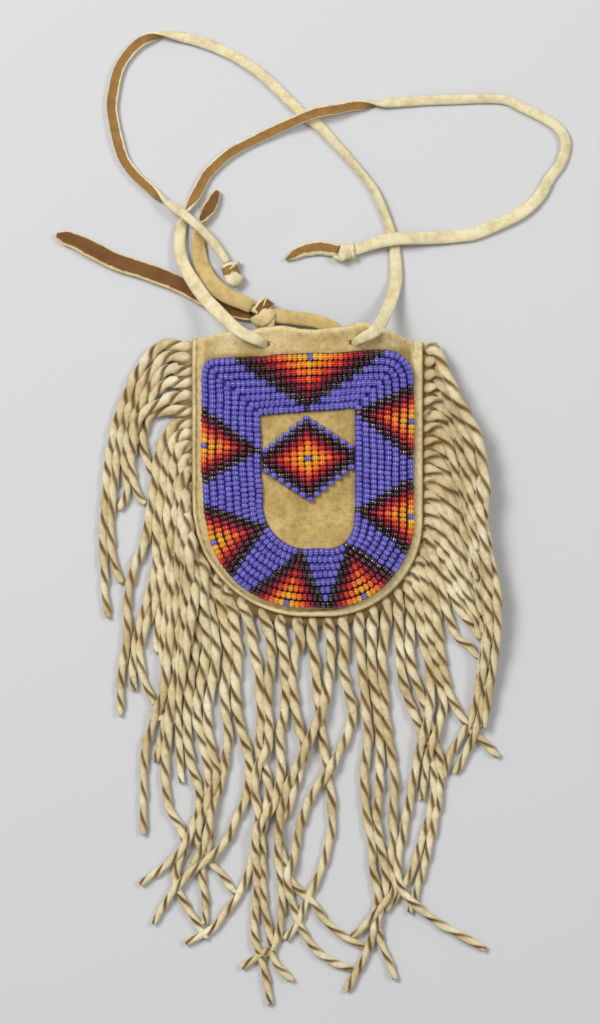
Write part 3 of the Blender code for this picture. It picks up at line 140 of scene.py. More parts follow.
# Fringe strands as they fall: each from its root in the seam to its tip, in
# millimetres, from the top of the left side round to the top of the right
STRAND_ROUTES = [
    [(-35, 40), (-41, 41), (-45.5, 38.5), (-51, 30.5), (-54, 24), (-56.5, 17), (-58.5, 6), (-60, -7),
     (-60.5, -20), (-60.3, -31), (-58.5, -41.5)],
    [(-35, 36.5), (-41, 37.5), (-46.5, 32), (-50, 26), (-53, 19), (-55.7, 8), (-57.5, -5), (-58, -13),
     (-57.3, -20), (-56, -26), (-54, -31)],
    [(-35, 33), (-40.5, 33.5), (-44.5, 30), (-48.5, 23), (-52, 16), (-54, 9), (-54, 3), (-53.5, -3),
     (-55.5, -9)],
    [(-35, 29.5), (-41, 29.5), (-45.5, 26.5), (-48.5, 22), (-50, 17), (-49.5, 11)],
    [(-35, 25.5), (-39, 25), (-43.5, 23), (-48, 20.5), (-51, 16.5), (-51.5, 10), (-52, 4), (-51.5, -1),
     (-50, -5), (-47.5, -7)],
    [(-35, 21), (-40, 21), (-44.5, 20.5), (-47.3, 17.5), (-48, 12), (-47.5, 7.5), (-45.3, 2)],
    [(-35, 17), (-38.5, 16.5), (-41.5, 12), (-43.3, 7), (-44.7, -1), (-46.3, -10), (-48, -19),
     (-50.5, -25), (-52, -31), (-53, -39), (-53, -50), (-54.5, -60), (-55.3, -71)],
    [(-35, 14), (-38.5, 12.5), (-40.7, 7), (-42, 1), (-43, -5), (-44.5, -12), (-44.5, -20), (-45, -28),
     (-47, -36), (-49, -43), (-50.5, -50), (-51, -57), (-51, -63.5)],
    [(-35, 10.5), (-37.5, 9.5), (-39.2, 5), (-40, -1), (-40.5, -8), (-42, -15), (-42, -22), (-43, -30),
     (-44.8, -37), (-47, -43), (-49, -50), (-48.8, -57), (-47.5, -62.5), (-45.2, -67.5)],
    [(-35, 6.5), (-36.8, 4), (-38, -2), (-38.5, -9), (-39.5, -16), (-40.5, -24), (-41, -31), (-42, -38),
     (-43, -44), (-44, -52)],
    [(-34.8, 2.5), (-36, -1), (-36.5, -7), (-37.5, -14), (-38, -21), (-39, -29), (-40.5, -37),
     (-42, -45), (-42.3, -52), (-41.5, -59), (-42, -66), (-42.8, -72.6)],
    [(-34.8, -1.5), (-35.3, -5), (-35.8, -11), (-36.5, -18), (-37, -26), (-37.5, -33), (-38.5, -41),
     (-40, -49), (-41, -57), (-42, -64), (-45, -71), (-47.5, -80), (-48.4, -92), (-48, -100),
     (-47.6, -107)],
    [(-34.8, -5.5), (-34.8, -10), (-35.3, -16), (-35.5, -23), (-35.8, -30), (-36.5, -38), (-38, -46),
     (-39, -54), (-40, -62), (-41, -70), (-42.5, -78), (-44.2, -85)],
    [(-34.6, -9.5), (-33.9, -14), (-34.3, -20), (-34, -27), (-34, -34), (-35, -42), (-36.5, -50),
     (-38, -58), (-39.5, -66), (-40.5, -75), (-41.3, -85), (-40.7, -98), (-37, -104.5), (-35.7, -110),
     (-37.8, -117), (-37.5, -123), (-34.5, -130), (-29.3, -138.6)],
    [(-34, -13.5), (-33, -18), (-32.8, -25), (-32.5, -32), (-33.3, -40), (-34.8, -48), (-36, -56),
     (-37, -64), (-37.5, -71), (-36.5, -79), (-36, -91)],
    [(-33, -17.5), (-31.6, -22), (-31.3, -28), (-31.2, -36), (-31.8, -45), (-33, -53), (-34, -61),
     (-34.6, -69), (-34.8, -77), (-33.5, -86), (-31.5, -93), (-31.3, -99), (-33.3, -105.5),
     (-36.3, -111), (-41, -115.5), (-49, -121.5)],
    [(-31.5, -21.5), (-29.8, -27), (-30.2, -34), (-29.5, -41), (-28.8, -49), (-30, -56), (-31.5, -63),
     (-32.3, -70), (-30.8, -78), (-29, -86), (-28.2, -93), (-28.3, -101), (-29, -109), (-30, -117),
     (-29.6, -125), (-30.3, -133.5)],
    [(-29.3, -25.5), (-27.8, -31), (-28, -38), (-27, -46), (-26.3, -53), (-27.3, -60), (-28.6, -67),
     (-28.4, -75), (-27.5, -83), (-26, -88), (-27.8, -93.5), (-30, -100), (-31.5, -107), (-29, -113.5),
     (-24.5, -118.5), (-20, -124)],
    [(-26.8, -29), (-25, -35), (-24.3, -42), (-22.8, -49), (-22.8, -56), (-24, -63), (-23.7, -70),
     (-22.6, -77), (-23.8, -84), (-26, -91), (-28, -98), (-28.5, -105), (-31, -111), (-34, -115)],
    [(-23.8, -32), (-21.3, -38.5), (-20.8, -45), (-20, -51), (-20.7, -58), (-20.2, -65), (-19, -72),
     (-17.3, -79), (-16.6, -86), (-17.3, -94), (-20, -101), (-23, -107), (-28, -112.5), (-35, -118),
     (-40.5, -123.5), (-46.3, -132.8)],
    [(-19, -35.7), (-16.5, -42), (-15.3, -50), (-13.8, -57), (-13.5, -64), (-12.8, -71), (-13.8, -78),
     (-12, -85), (-10.5, -92), (-12, -99), (-13.8, -106), (-15.5, -112), (-17.5, -118), (-19.6, -123.5),
     (-23, -128), (-28.5, -134), (-36, -138.3)],
    [(-13, -38.8), (-10.9, -46), (-10.4, -53), (-11.3, -60), (-11.7, -67), (-11.2, -74), (-12, -80),
     (-15, -85), (-16, -92), (-14.5, -99), (-13.5, -107), (-12.8, -116), (-12, -126), (-10.5, -136),
     (-8.7, -144), (-3.7, -149.7)],
    [(-8, -40.4), (-7.3, -48), (-6.5, -55), (-5.6, -62), (-6.5, -69), (-7.8, -76), (-7.3, -84),
     (-8.5, -91), (-10.5, -97), (-14, -102), (-15.8, -109), (-15.5, -118), (-15.6, -128), (-15, -137),
     (-13.5, -143), (-12.5, -150), (-11.3, -157)],
    [(-3, -41.1), (-2.2, -47), (-4, -53), (-4.8, -60), (-3.5, -67), (-2, -74), (-0.5, -79), (-2.2, -86),
     (-4, -92), (-6.5, -99), (-9, -105), (-7.5, -112), (-5.5, -118), (-3, -122), (1.5, -126.5),
     (6, -132), (11, -136), (18, -139.5)],
    [(1.5, -41.2), (1.7, -48), (2.7, -55), (3.2, -62), (4, -69), (4.3, -76), (5.8, -83), (7, -91),
     (7.2, -99), (6.7, -107), (4.6, -114.5), (1.5, -121), (-1, -127.5), (-3, -132.5), (-7, -137.3)],
    [(6, -41.2), (7.2, -47.5), (6.9, -54), (6, -61), (4.3, -68), (1.5, -74), (-1.5, -81), (-4.3, -88),
     (-6.5, -95), (-8.3, -102), (-8.5, -110), (-8.3, -118), (-8, -127), (-8.6, -134), (-10, -139.5),
     (-14, -142.5), (-20, -145.7)],
    [(10.5, -40.8), (11, -48), (10.5, -54), (11.8, -61), (13.2, -68), (11.8, -75), (9, -81), (5.5, -87),
     (1.5, -92.5), (-1.5, -99), (-3.3, -106), (-4.3, -113), (-6, -118.5), (-4.5, -126), (-2.5, -133),
     (2, -139.5), (7.5, -143.8), (13, -146.3)],
    [(15, -39.6), (15.3, -47), (15.8, -54), (16.8, -61), (17.4, -69), (18, -76), (17.2, -84),
     (16.9, -92), (17.4, -100), (19.2, -108), (19.6, -116), (21.2, -124), (20.8, -131), (22.3, -138),
     (24.3, -144), (26, -149.3)],
    [(19.2, -37.8), (18.8, -45), (18.6, -52), (19.3, -59), (20.3, -66), (21.5, -74), (21.8, -82),
     (21, -90), (20, -98), (20.8, -106), (22.3, -114), (23, -121), (21.5, -128), (20, -134),
     (17, -141.5), (13.5, -147.5), (10.3, -153)],
    [(23, -35.5), (22.5, -43), (21.7, -50), (21.8, -58), (22.3, -66), (23, -74), (24.2, -82),
     (25.2, -90), (25, -98), (25, -106), (24.4, -113), (26.3, -119), (26, -123.5), (22, -128),
     (16, -134.5), (12.5, -137)],
    [(26.3, -32.7), (26.6, -42), (26.8, -50), (27.2, -58), (29, -65), (32, -72), (34.8, -79),
     (37.2, -86), (38.2, -92.5), (36.8, -99), (35, -105.5), (32.3, -112), (29.5, -118), (27, -122.5),
     (22.5, -129)],
    [(29, -29.6), (30.3, -38), (30, -46), (30, -53), (31.8, -60), (34, -66.5), (36, -73), (38.2, -80),
     (39.3, -87), (38.5, -94), (37, -101), (36, -107), (34.5, -114), (32.3, -120.5), (31, -125),
     (29.6, -129.5)],
    [(30.8, -26.8), (32.5, -33), (33.5, -40), (34.3, -47), (35.8, -54), (36, -61), (35.5, -68),
     (34, -75), (32.5, -81), (31.5, -87), (29.6, -94), (28.5, -101), (27.5, -108), (25.6, -115),
     (26, -121), (29, -125.5), (35, -130.5), (42, -135.5), (51.8, -141)],
    [(32.3, -23.8), (34, -30), (35, -37), (35.5, -45), (37.3, -53), (39, -60), (39.8, -66), (38.3, -73),
     (36, -79), (34.5, -85), (33.5, -91), (32.3, -96)],
    [(33.5, -20.5), (35.3, -27), (36.5, -34), (37.3, -42), (38, -50), (39.5, -58), (41.5, -64),
     (45, -70), (49, -75), (53, -79.3), (56.7, -83)],
    [(34.3, -16.5), (36.3, -23), (38, -30), (39.3, -37), (41, -43), (43.3, -47.5), (47, -50),
     (50, -53.5)],
    [(34.7, -12.5), (37, -18), (39, -24.5), (41, -31), (43, -37), (45.5, -41), (49, -44), (51, -48)],
    [(34.75, -8.5), (37.5, -12), (39.5, -18), (41.5, -24.5), (43.5, -30.5), (46, -36.5), (48.8, -41.5),
     (51.5, -47), (51.3, -54)],
    [(34.75, -4.5), (38, -7.5), (40.5, -12.5), (42.3, -18.5), (44, -25), (46, -31), (48.3, -37),
     (50.5, -42), (51.8, -48)],
    [(34.75, -0.5), (38, -3), (41, -7.5), (43.2, -13), (44.8, -19), (46.3, -26), (48.2, -32.5),
     (50, -38.5), (51.5, -45), (51.5, -52), (50.5, -60), (50.3, -67), (50.3, -75)],
    [(34.75, 3.5), (38, 1.5), (41, -2.5), (43.3, -7.5), (45, -13), (46.3, -19), (47.7, -26),
     (49.5, -32), (51, -38.5), (52, -46)],
    [(34.75, 7.5), (38, 6), (40.8, 2.5), (43.2, -2.5), (45.3, -7.5), (46.3, -14), (47.5, -20),
     (49, -27), (50.7, -34), (52, -41)],
    [(34.75, 11.5), (38, 10.7), (41, 7), (43, 2), (45, -3), (46.6, -9), (47.8, -16), (49, -23),
     (50.5, -30)],
    [(34.75, 15.5), (37.8, 15.3), (40.8, 12), (42.8, 7), (44.5, 1), (46.2, -5), (47.3, -12),
     (48.7, -19), (50, -26)],
    [(34.75, 19.5), (37.5, 19.7), (40.5, 17), (43, 12), (44.7, 6), (46.2, 0), (47.6, -7), (48.8, -14),
     (50, -21)],
    [(34.75, 23.7), (38, 23.5), (41.5, 20.5), (43.9, 15), (45.3, 9), (46.5, 3), (47.8, -4), (49, -11),
     (50.3, -18)],
    [(34.75, 28), (37.5, 27.7), (40.5, 25), (42.8, 20.5), (44.7, 15), (46.2, 9), (47.6, 2), (48.5, -5),
     (49.5, -12), (50.8, -19), (51.8, -27), (51.8, -35), (52.3, -43), (51.5, -50), (50.3, -55)],
    [(34.75, 32), (37.5, 31.7), (40, 28), (42, 23.5), (44.3, 18.5), (46.6, 13), (48.2, 6), (49, -1),
     (49.2, -8), (50, -15), (51.4, -22), (52.4, -30), (53, -38), (53, -46), (51.7, -54), (50.2, -62),
     (48.8, -70), (45.5, -77), (41.5, -83.5), (39.8, -90)],
    [(34.75, 36), (37.5, 35.7), (39.8, 31.5), (41.6, 27), (43.9, 22), (46.9, 17), (49.2, 11), (50.2, 4),
     (50.3, -4), (50, -11), (51.2, -19), (52.8, -27), (53.8, -34), (54.4, -42), (54.3, -50),
     (53.2, -58), (51.8, -66), (49.5, -75), (46, -82.5), (42.8, -88.7)],
    [(34.75, 40), (37.5, 38.3), (39.3, 34), (41.3, 29.5), (43.3, 24.5), (46.3, 19), (49.3, 13), (51, 5),
     (51.5, -3), (51, -9), (52, -17), (53.5, -25), (54.7, -32), (55.8, -40), (55.6, -48), (54.6, -57),
     (53, -65), (51.3, -74.5)],
]

# Thong routes with their heights, millimetres: the right loop from the left slit, the left loop
# from behind the front panel and out of the right slit, then the back thong
RIGHT_LOOP = [
    (-11.6, 39.8, 10.2), (-12.7, 40.4, 12), (-14, 41.3, 15), (-16, 42.2, 16.3), (-18.6, 43.4, 16.2),
    (-21.6, 45.4, 14.2), (-25.8, 49.5, 9.6), (-31, 55, 5.8), (-34.5, 60, 4.4), (-37.5, 65.5, 2.8),
    (-38.6, 70.5, 2.0), (-38.3, 75.5, 1.4), (-36.5, 80.5, 1.1), (-34, 85.5, 1), (-31, 91.5, 1),
    (-28.5, 94.5, 1), (-23.3, 99, 1), (-15.8, 103, 1), (-8.3, 106.5, 1.8), (-2.3, 109, 3.4),
    (2.3, 110.7, 3.8), (6, 111.5, 3.5), (9.8, 112.2, 2.6), (15.8, 113.4, 1.5), (27.8, 114.3, 1),
    (39.8, 114.9, 1), (57.8, 115.2, 1), (63.8, 113.1, 1), (71.3, 109.5, 1), (75.8, 106.5, 1),
    (78.2, 102, 1), (76.7, 96, 1), (73.4, 91.5, 1), (69.8, 85.5, 1), (63.8, 80.4, 1), (51.8, 75, 1),
    (45.8, 73.8, 1), (36.8, 73.2, 1.8), (31.5, 73.1, 3.2), (27.8, 72.9, 3.7), (22.5, 72.1, 3.4),
    (18.5, 70.9, 2.4), (14.6, 69.6, 2.1), (12.2, 69, 2.3),
]
LEFT_LOOP = [
    (-10.5, 39, 8.3), (-4, 38.6, 8.2), (3, 38.6, 8.2), (9.5, 39, 8.2), (12.7, 40, 9.6),
    (13.9, 40.8, 12), (15.2, 41.7, 15), (17, 42.7, 16.3), (19.4, 43.9, 16.1), (21.6, 46.3, 13),
    (23.3, 49.5, 9.4), (25, 53.5, 5), (26.3, 58, 2.2), (26.9, 61.5, 1.2), (26.6, 67.5, 1),
    (25.7, 73.5, 1), (21.2, 85.5, 1.3), (17.3, 91.5, 1.2), (8.3, 102, 1), (3.2, 107.4, 1),
    (-2.3, 111.6, 1), (-14.3, 123, 1), (-26.3, 130.2, 1), (-38.3, 134.1, 1.2), (-44.3, 134.6, 1.9),
    (-48.5, 133.5, 1.4), (-52.7, 130.5, 1), (-56.9, 124.5, 1), (-58.7, 117, 1), (-59, 111, 1),
    (-56.3, 99, 1), (-52.7, 93, 1), (-47.3, 87.9, 1.5), (-41.3, 83.1, 3.2), (-36.8, 79.8, 4.0),
    (-32.3, 75.9, 3.9), (-28.7, 72, 3.3), (-25.9, 68.3, 2.5), (-24.2, 65.8, 2.4),
]
BACK_LOOP = [
    (-10.6, 49.8, 2.8), (-3, 48.8, 3.2), (3, 47.8, 4.2), (8.5, 45.4, 5), (11.4, 42.6, 4.6),
    (12.2, 40.3, 3.4), (11.4, 38.9, 1.6), (8, 38.2, 0.75), (-1, 38.2, 0.75), (-8.6, 38.2, 0.75),
    (-11.6, 38.9, 1.6), (-12.6, 40.3, 3.4), (-13, 42.2, 4.4), (-13.4, 46, 3.6),
]
LONG_END = [
    (-16.5, 50.2, 1.6), (-19.3, 50.6, 1.1), (-24, 52, 1), (-30.8, 54.9, 1), (-36.8, 58.2, 1),
    (-42.8, 60.9, 1), (-50.3, 63.6, 1), (-57.8, 66, 1), (-63.8, 69, 1), (-69.8, 72, 1),
    (-75.8, 74.1, 1),
]
SHORT_END = [
    (-16.8, 52.3, 4.1), (-19.6, 53.6, 4.1), (-23.5, 55.3, 4.0), (-27.2, 57.8, 3.4), (-30, 61, 2.3),
    (-31.9, 65, 1.3), (-32.8, 69.5, 1), (-32.9, 74, 1), (-31.5, 78.5, 1), (-29.3, 82.8, 1.2),
    (-27, 87.4, 1.8),
]
TAIL = [(9.8, 69.2, 2.2), (6, 69.9, 1.5), (3.2, 70.2, 1.2), (-2.3, 69, 1.1), (-6.6, 66.6, 1)]

# The camera, and how far below it lies the level whose height fills the picture
CAMERA_PLACE = (-0.00225, -0.0096, 1.2)
VIEW_DISTANCE = 1190 * MM
VIEW_HEIGHT = 307.2 * MM

# Where the cut ends of a strip lie on the lace map: at the border of the grain's colour
CUT_END = (0, 0.47)


def linear(code):
    """A colour written as a hex string, as the linear values that a shader takes."""
    values = [int(code[k : k + 2], 16) / 255 for k in (1, 3, 5)]
    return tuple(v / 12.92 if v <= 0.04045 else ((v + 0.055) / 1.055) ** 2.4 for v in values) + (1.0,)


def add_node(material, kind, settings=(), links=(), stops=()):
    """Adds a node with its settings, its incoming links and a ramp's stops; a hex string is a colour."""
    node = material.node_tree.nodes.new(kind)
    for key, value in dict(settings).items():
        if isinstance(value, str) and value.startswith("#"):
            value = linear(value)
        if isinstance(key, str) and hasattr(node, key):
            setattr(node, key, value)
        else:
            node.inputs[key].default_value = value
    for key, source in dict(links).items():
        material.node_tree.links.new(source, node.inputs[key])
    while stops and len(node.color_ramp.elements) < len(stops):
        node.color_ramp.elements.new(0.5)
    for k, (position, code) in enumerate(stops):
        node.color_ramp.elements[k].position = position
        node.color_ramp.elements[k].color = linear(code)
    return node


def new_material(name, sockets):
    """A material and its shader, with what is the same all over set on the shader's own sockets."""
    material = bpy.data.materials.new(name)
    material.use_nodes = True
    shader = material.node_tree.nodes["Principled BSDF"]
    for key, value in sockets.items():
        shader.inputs[key].default_value = linear(value) if isinstance(value, str) else value
    return material, shader


def mottled(material, scale, detail, rough, stops):
    """A colour that drifts over a piece: noise of a size, through a ramp."""
    here = add_node(material, "ShaderNodeTexCoord").outputs["Object"]
    settings = {"Scale": scale, "Detail": detail, "Roughness": rough}
    drift = add_node(material, "ShaderNodeTexNoise", settings, {"Vector": here}).outputs["Fac"]
    return add_node(material, "ShaderNodeValToRGB", links={"Fac": drift}, stops=stops).outputs["Color"]


def multiplied(material, strength, under, over):
    """One colour darkened by another."""
    settings = {"data_type": "RGBA", "blend_type": "MULTIPLY", 0: strength}
    return add_node(material, "ShaderNodeMix", settings, {6: under, 7: over}).outputs[2]


def marked(material, attribute, code, under):
    """A colour with another over it, as strong as a value painted on the points."""
    painted = add_node(material, "ShaderNodeAttribute", {"attribute_name": attribute}).outputs["Fac"]
    links = {0: painted, 6: under}
    return add_node(material, "ShaderNodeMix", {"data_type": "RGBA", 7: code}, links).outputs[2]


def finish_leather(material, shader, colour, scale, detail, height, strength):
    """Gives leather its colour and the fine relief of its nap."""
    here = add_node(material, "ShaderNodeTexCoord").outputs["Object"]
    settings = {"Scale": scale, "Detail": detail, "Roughness": 0.7}
    nap = add_node(material, "ShaderNodeTexNoise", settings, {"Vector": here}).outputs["Fac"]
    settings = {"Distance": height, "Strength": strength}
    relief = add_node(material, "ShaderNodeBump", settings, {"Height": nap}).outputs["Normal"]
    material.node_tree.links.new(colour, shader.inputs["Base Color"])
    material.node_tree.links.new(relief, shader.inputs["Normal"])
    return material


def smoked_buckskin():
    """Smoke-tanned deerskin, nap up: soft yellow-tan, clouded by smoke and handling, quite matte; paler
    with wear at the rim, with a painted highlight along the lip, and darker with painted shade where its
    points say.
    """
    material, shader = new_material(
        "smoked_buckskin",
        {"Roughness": 0.92, "Sheen Weight": 0.2, "Sheen Roughness": 0.6, "Specular IOR Level": 0.2},
    )
    tans = [(0.3, "#A0854A"), (0.48, "#B99E5E"), (0.68, "#CFB678")]
    colour = mottled(material, 120, 6, 0.68, tans)
    # pale rims and wear, with a painted highlight along the mouth's lip
    colour = marked(material, "worn", "#EBD8A4", colour)
    stains = mottled(material, 620, 5, 0.75, [(0.34, "#7A5C26"), (0.56, "#FFFFFF")])
    colour = multiplied(material, 0.36, colour, stains)
    # painted shade: the groove inside the rim, the leather under the beads, the turned-under edge and the
    # welt under the rim
    colour = marked(material, "painted_shade", "#6F5527", colour)
    return finish_leather(material, shader, colour, 1500, 5, 0.00014, 0.8)


def twisted_buckskin():
    """Pale strips twisted while damp: cream grain side out, brown flesh side showing in the laps and
    deepened there by painted shade, and painted shade at the roots.
    """
    material, shader = new_material(
        "twisted_pale_buckskin", {"Roughness": 0.85, "Sheen Weight": 0.1, "Specular IOR Level": 0.25}
    )
    creams = [(0.3, "#C0AB7C"), (0.52, "#DACCA2"), (0.72, "#ECE2C2")]
    colour = mottled(material, 120, 3, 0.5, creams)
    flecks = mottled(material, 650, 3, 0.7, [(0.33, "#B6985E"), (0.5, "#FFFFFF")])
    colour = multiplied(material, 0.35, colour, flecks)
    # brown flesh side in each of the laps, deepened by painted shade
    colour = marked(material, "lap", "#5C3E1A", colour)
    # the strand's own darker tone, and painted shade at its root under the rim
    colour = marked(material, "shade", "#86652F", colour)
    return finish_leather(material, shader, colour, 1300, 4, 0.00015, 0.7)


def lace_leather(name, grain, flesh, edge, flesh_share=0.21):
    """Hand-cut lace: smooth grain on one face, napped flesh on the other, pale cut edges between."""
    material, shader = new_material(
        name, {"Roughness": 0.85, "Sheen Weight": 0.12, "Specular IOR Level": 0.25}
    )
    here = add_node(material, "ShaderNodeTexCoord").outputs["Object"]
    round_it = add_node(material, "ShaderNodeUVMap", {"uv_map": "lace"})
    parts = add_node(material, "ShaderNodeSeparateXYZ", links={"Vector": round_it.outputs["UV"]})
    ragged = add_node(material, "ShaderNodeTexNoise", {"Scale": 700, "Detail": 3}, {"Vector": here})
    spread = {"operation": "MULTIPLY_ADD", 1: 0.07, 2: -0.035}
    wander = add_node(material, "ShaderNodeMath", spread, {0: ragged.outputs["Fac"]})
    links = {0: parts.outputs["Y"], 1: wander.outputs[0]}
    place = add_node(material, "ShaderNodeMath", {"operation": "ADD"}, links)
    low, high = 0.75 - flesh_share / 2, 0.75 + flesh_share / 2
    stops = [(0.0, edge), (0.05, grain), (0.45, grain), (0.5, edge)]
    stops += [(low - 0.035, edge), (low, flesh), (high, flesh), (high + 0.035, edge)]
    sides = add_node(material, "ShaderNodeValToRGB", links={"Fac": place.outputs[0]}, stops=stops)
    clouds = mottled(material, 300, 4, 0.65, [(0.3, "#B9A57A"), (0.58, "#FFFFFF")])
    colour = multiplied(material, 0.5, sides.outputs["Color"], clouds)
    return finish_leather(material, shader, colour, 1500, 4, 0.00015, 0.8)


def glass_bead(name, code, dark_code, rough=0.22, metallic=0.0, coat=0.3):
    """Opaque pressed glass, fire polished: even colour and a small wet highlight on every bead."""
    material, shader = new_material(
        name, {"Roughness": rough, "Metallic": metallic, "Coat Weight": coat, "Coat Roughness": 0.08}
    )
    batches = mottled(material, 420, 1, 0.5, [(0.35, dark_code), (0.65, code)])
    material.node_tree.links.new(batches, shader.inputs["Base Color"])
    return material


def thread_and_shade_material():
    """Thread under each row, widened into a dark bed of painted shade between the beads: indigo below
    blue beads, dark red below the others as painted shade tinted by their colour.
    """
    material, shader = new_material("thread_and_painted_shade", {"Roughness": 0.7})
    indigo = mottled(material, 2500, 2, 0.5, [(0.35, "#231C78"), (0.65, "#383098")])
    # dark red painted shade under the beads that are not blue
    dyed = marked(material, "warm", "#3A0E12", indigo)
    material.node_tree.links.new(dyed, shader.inputs["Base Color"])
    return material


def smooth_step(share):
    share = min(max(share, 0.0), 1.0)
    return share * share * (3 - 2 * share)


def between(points, x):
    """A value read off a line of points, eased from one to the next."""
    if x <= points[0][0]:
        return points[0][1]
    for (x0, y0), (x1, y1) in zip(points, points[1:]):
        if x <= x1:
            return y0 + (y1 - y0) * smooth_step((x - x0) / (x1 - x0))
    return points[-1][1]


def smooth_route(points, step):
    """Places about a step apart on a smooth curve through points in millimetres."""
    knots = [Vector(point) * MM for point in points]
    ends = [2 * knots[0] - knots[1]] + knots + [2 * knots[-1] - knots[-2]]
    route = [knots[0]]
    for i in range(1, len(ends) - 2):
        before, start, end, after = ends[i - 1 : i + 3]
        pieces = max(1, round((end - start).length / step))
        for k in range(1, pieces + 1):
            t = k / pieces
            route.append(
                0.5
                * (
                    2 * start
                    + (end - before) * t
                    + (2 * before - 5 * start + 4 * end - after) * t**2
                    + (3 * start - before - 3 * end + after) * t**3
                )
            )
    return route


def reach_along(route):
    """How far along a route each of its places is."""
    reached = [0.0]
    for start, end in zip(route, route[1:]):
        reached.append(reached[-1] + (end - start).length)
    return reached


def even_route(fine, step):
    """The same line as places an even distance apart."""
    reached = reach_along(fine)
    count = max(2, round(reached[-1] / step))
    route = []
    k = 0
    for i in range(count + 1):
        wanted = reached[-1] * i / count
        while k < len(fine) - 2 and reached[k + 1] < wanted:
            k += 1
        share = (wanted - reached[k]) / max(reached[k + 1] - reached[k], 1e-9)
        route.append(fine[k].lerp(fine[k + 1], share))
    return route


class Row:
    """A line round the beadwork's sides and bottom, at an inset from its outer outline.

    Arc lengths run from the top left corner down the left side and round; less
    than nothing, and past the top right corner, they run along the top edge.
    """

    def __init__(self, inset):
        self.half = BEADWORK_WIDTH / 2 - inset
        self.bottom = -BEADWORK_HEIGHT / 2 + inset
        self.top = BEADWORK_HEIGHT / 2 - inset
        self.left_radius = max(LEFT_CORNER_RADIUS - inset, ROW_PITCH / 2)
        self.right_radius = max(RIGHT_CORNER_RADIUS - inset, ROW_PITCH / 2)
        self.left = Vector((self.left_radius - self.half, self.bottom + self.left_radius))
        self.right = Vector((self.half - self.right_radius, self.bottom + self.right_radius))
        self.left_side = self.top_at(-self.half) - self.left.y
        self.left_arc = self.left_radius * math.pi / 2
        self.floor = self.right.x - self.left.x
        self.right_arc = self.right_radius * math.pi / 2
        self.right_side = self.top_at(self.half) - self.right.y
        self.length = self.left_side + self.left_arc + self.floor + self.right_arc + self.right_side

    def top_at(self, x):
        return self.top + TOP_TILT * x

    def at(self, arc):
        """The point at an arc length."""
        if arc < 0:
            x = -self.half - arc
            return Vector((x, self.top_at(x)))
        if arc > self.length:
            x = self.half - (arc - self.length)
            return Vector((x, self.top_at(x)))
        if arc <= self.left_side:
            return Vector((-self.half, self.top_at(-self.half) - arc))
        arc -= self.left_side
        if arc <= self.left_arc:
            angle = arc / self.left_radius
            return self.left - self.left_radius * Vector((math.cos(angle), math.sin(angle)))
        arc -= self.left_arc
        if arc <= self.floor:
            return Vector((self.left.x + arc, self.bottom))
        arc -= self.floor
        if arc <= self.right_arc:
            angle = arc / self.right_radius
            return self.right + self.right_radius * Vector((math.sin(angle), -math.cos(angle)))
        arc -= self.right_arc
        return Vector((self.half, self.right.y + arc))

    def along(self, point):
        """The arc length of the place on the line nearest a point."""
        if point.x <= self.left.x and point.y >= self.left.y:
            return self.top_at(-self.half) - point.y
        if point.x <= self.left.x:
            away = self.left - point
            return self.left_side + self.left_radius * math.atan2(away.y, away.x)
        to_right_arc = self.left_side + self.left_arc + self.floor
        if point.x < self.right.x:
            return to_right_arc - self.floor + point.x - self.left.x
        if point.y <= self.right.y:
            away = point - self.right
            return to_right_arc + self.right_radius * math.atan2(away.x, -away.y)
        return to_right_arc + self.right_arc + point.y - self.right.y

    def sides(self, left_top, right_top, steps):
        """Points from the left side's top, down and round to the right side's top."""
        side_steps, corner_steps, floor_steps = steps
        points = []
        for k in range(side_steps):
            y = left_top + (self.left.y - left_top) * k / side_steps
            points.append(Vector((-self.half, y)))
        reach = self.left_side
        for length, count in (
            (self.left_arc, corner_steps), (self.floor, floor_steps), (self.right_arc, corner_steps),
        ):
            points += [self.at(reach + length * k / count) for k in range(count)]
            reach += length
        for k in range(side_steps + 1):
            y = self.right.y + (right_top - self.right.y) * k / side_steps
            points.append(Vector((self.half, y)))
        return points


EDGE = Row(-RIM_WIDTH)


def inside(point):
    """How far a point lies inside the pouch's edge, the open mouth not counted."""
    x, y = point.x, point.y
    left_gap = point.xy - EDGE.left
    right_gap = point.xy - EDGE.right
    if left_gap.x < 0 and left_gap.y < 0:
        return min(EDGE.left_radius - left_gap.length, EDGE.half - x)
    if right_gap.x > 0 and right_gap.y < 0:
        return min(EDGE.right_radius - right_gap.length, EDGE.half + x)
    return min(x + EDGE.half, EDGE.half - x, y - EDGE.bottom)


def back_lift(y):
    return BACK_LIP_LIFT * smooth_step((y - (LIP_Y - LIFT_FROM_LIP - LIFT_LENGTH)) / LIFT_LENGTH)


def seam_height(y):
    """Top of the back panel at the seam."""
    return LEATHER + back_lift(y)


def crown_height(point):
    """The front panel's outer face without its rim: a soft crown that flares at the mouth."""
    depth = max(inside(point), 0.0)
    edge = seam_height(point.y) + 2 * CLEARANCE + 2 * LEATHER
    crown = CROWN * (1 - math.exp(-max(depth - RIM_WIDTH / 2, 0.0) / CROWN_RUN))
    flare = MOUTH_FLARE * max(0.0, (point.y - (LIP_Y - FLARE_LENGTH)) / FLARE_LENGTH) ** 2
    return edge + crown + flare * smooth_step(depth / (4 * RIM_WIDTH))


def finish(obj, material=None, nodes=()):
    """Rides a finished piece, hides the parts that it stands for and gives it its material."""
    if material is not None:
        obj.data.materials.clear()
        obj.data.materials.append(material)
    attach(obj, "root")
    if nodes:
        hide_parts(*nodes)
    return obj


def deselect():
    if bpy.context.object and bpy.context.object.mode != "OBJECT":
        bpy.ops.object.mode_set(mode="OBJECT")
    bpy.ops.object.select_all(action="DESELECT")


def make_active(obj):
    deselect()
    obj.select_set(True)
    bpy.context.view_layer.objects.active = obj


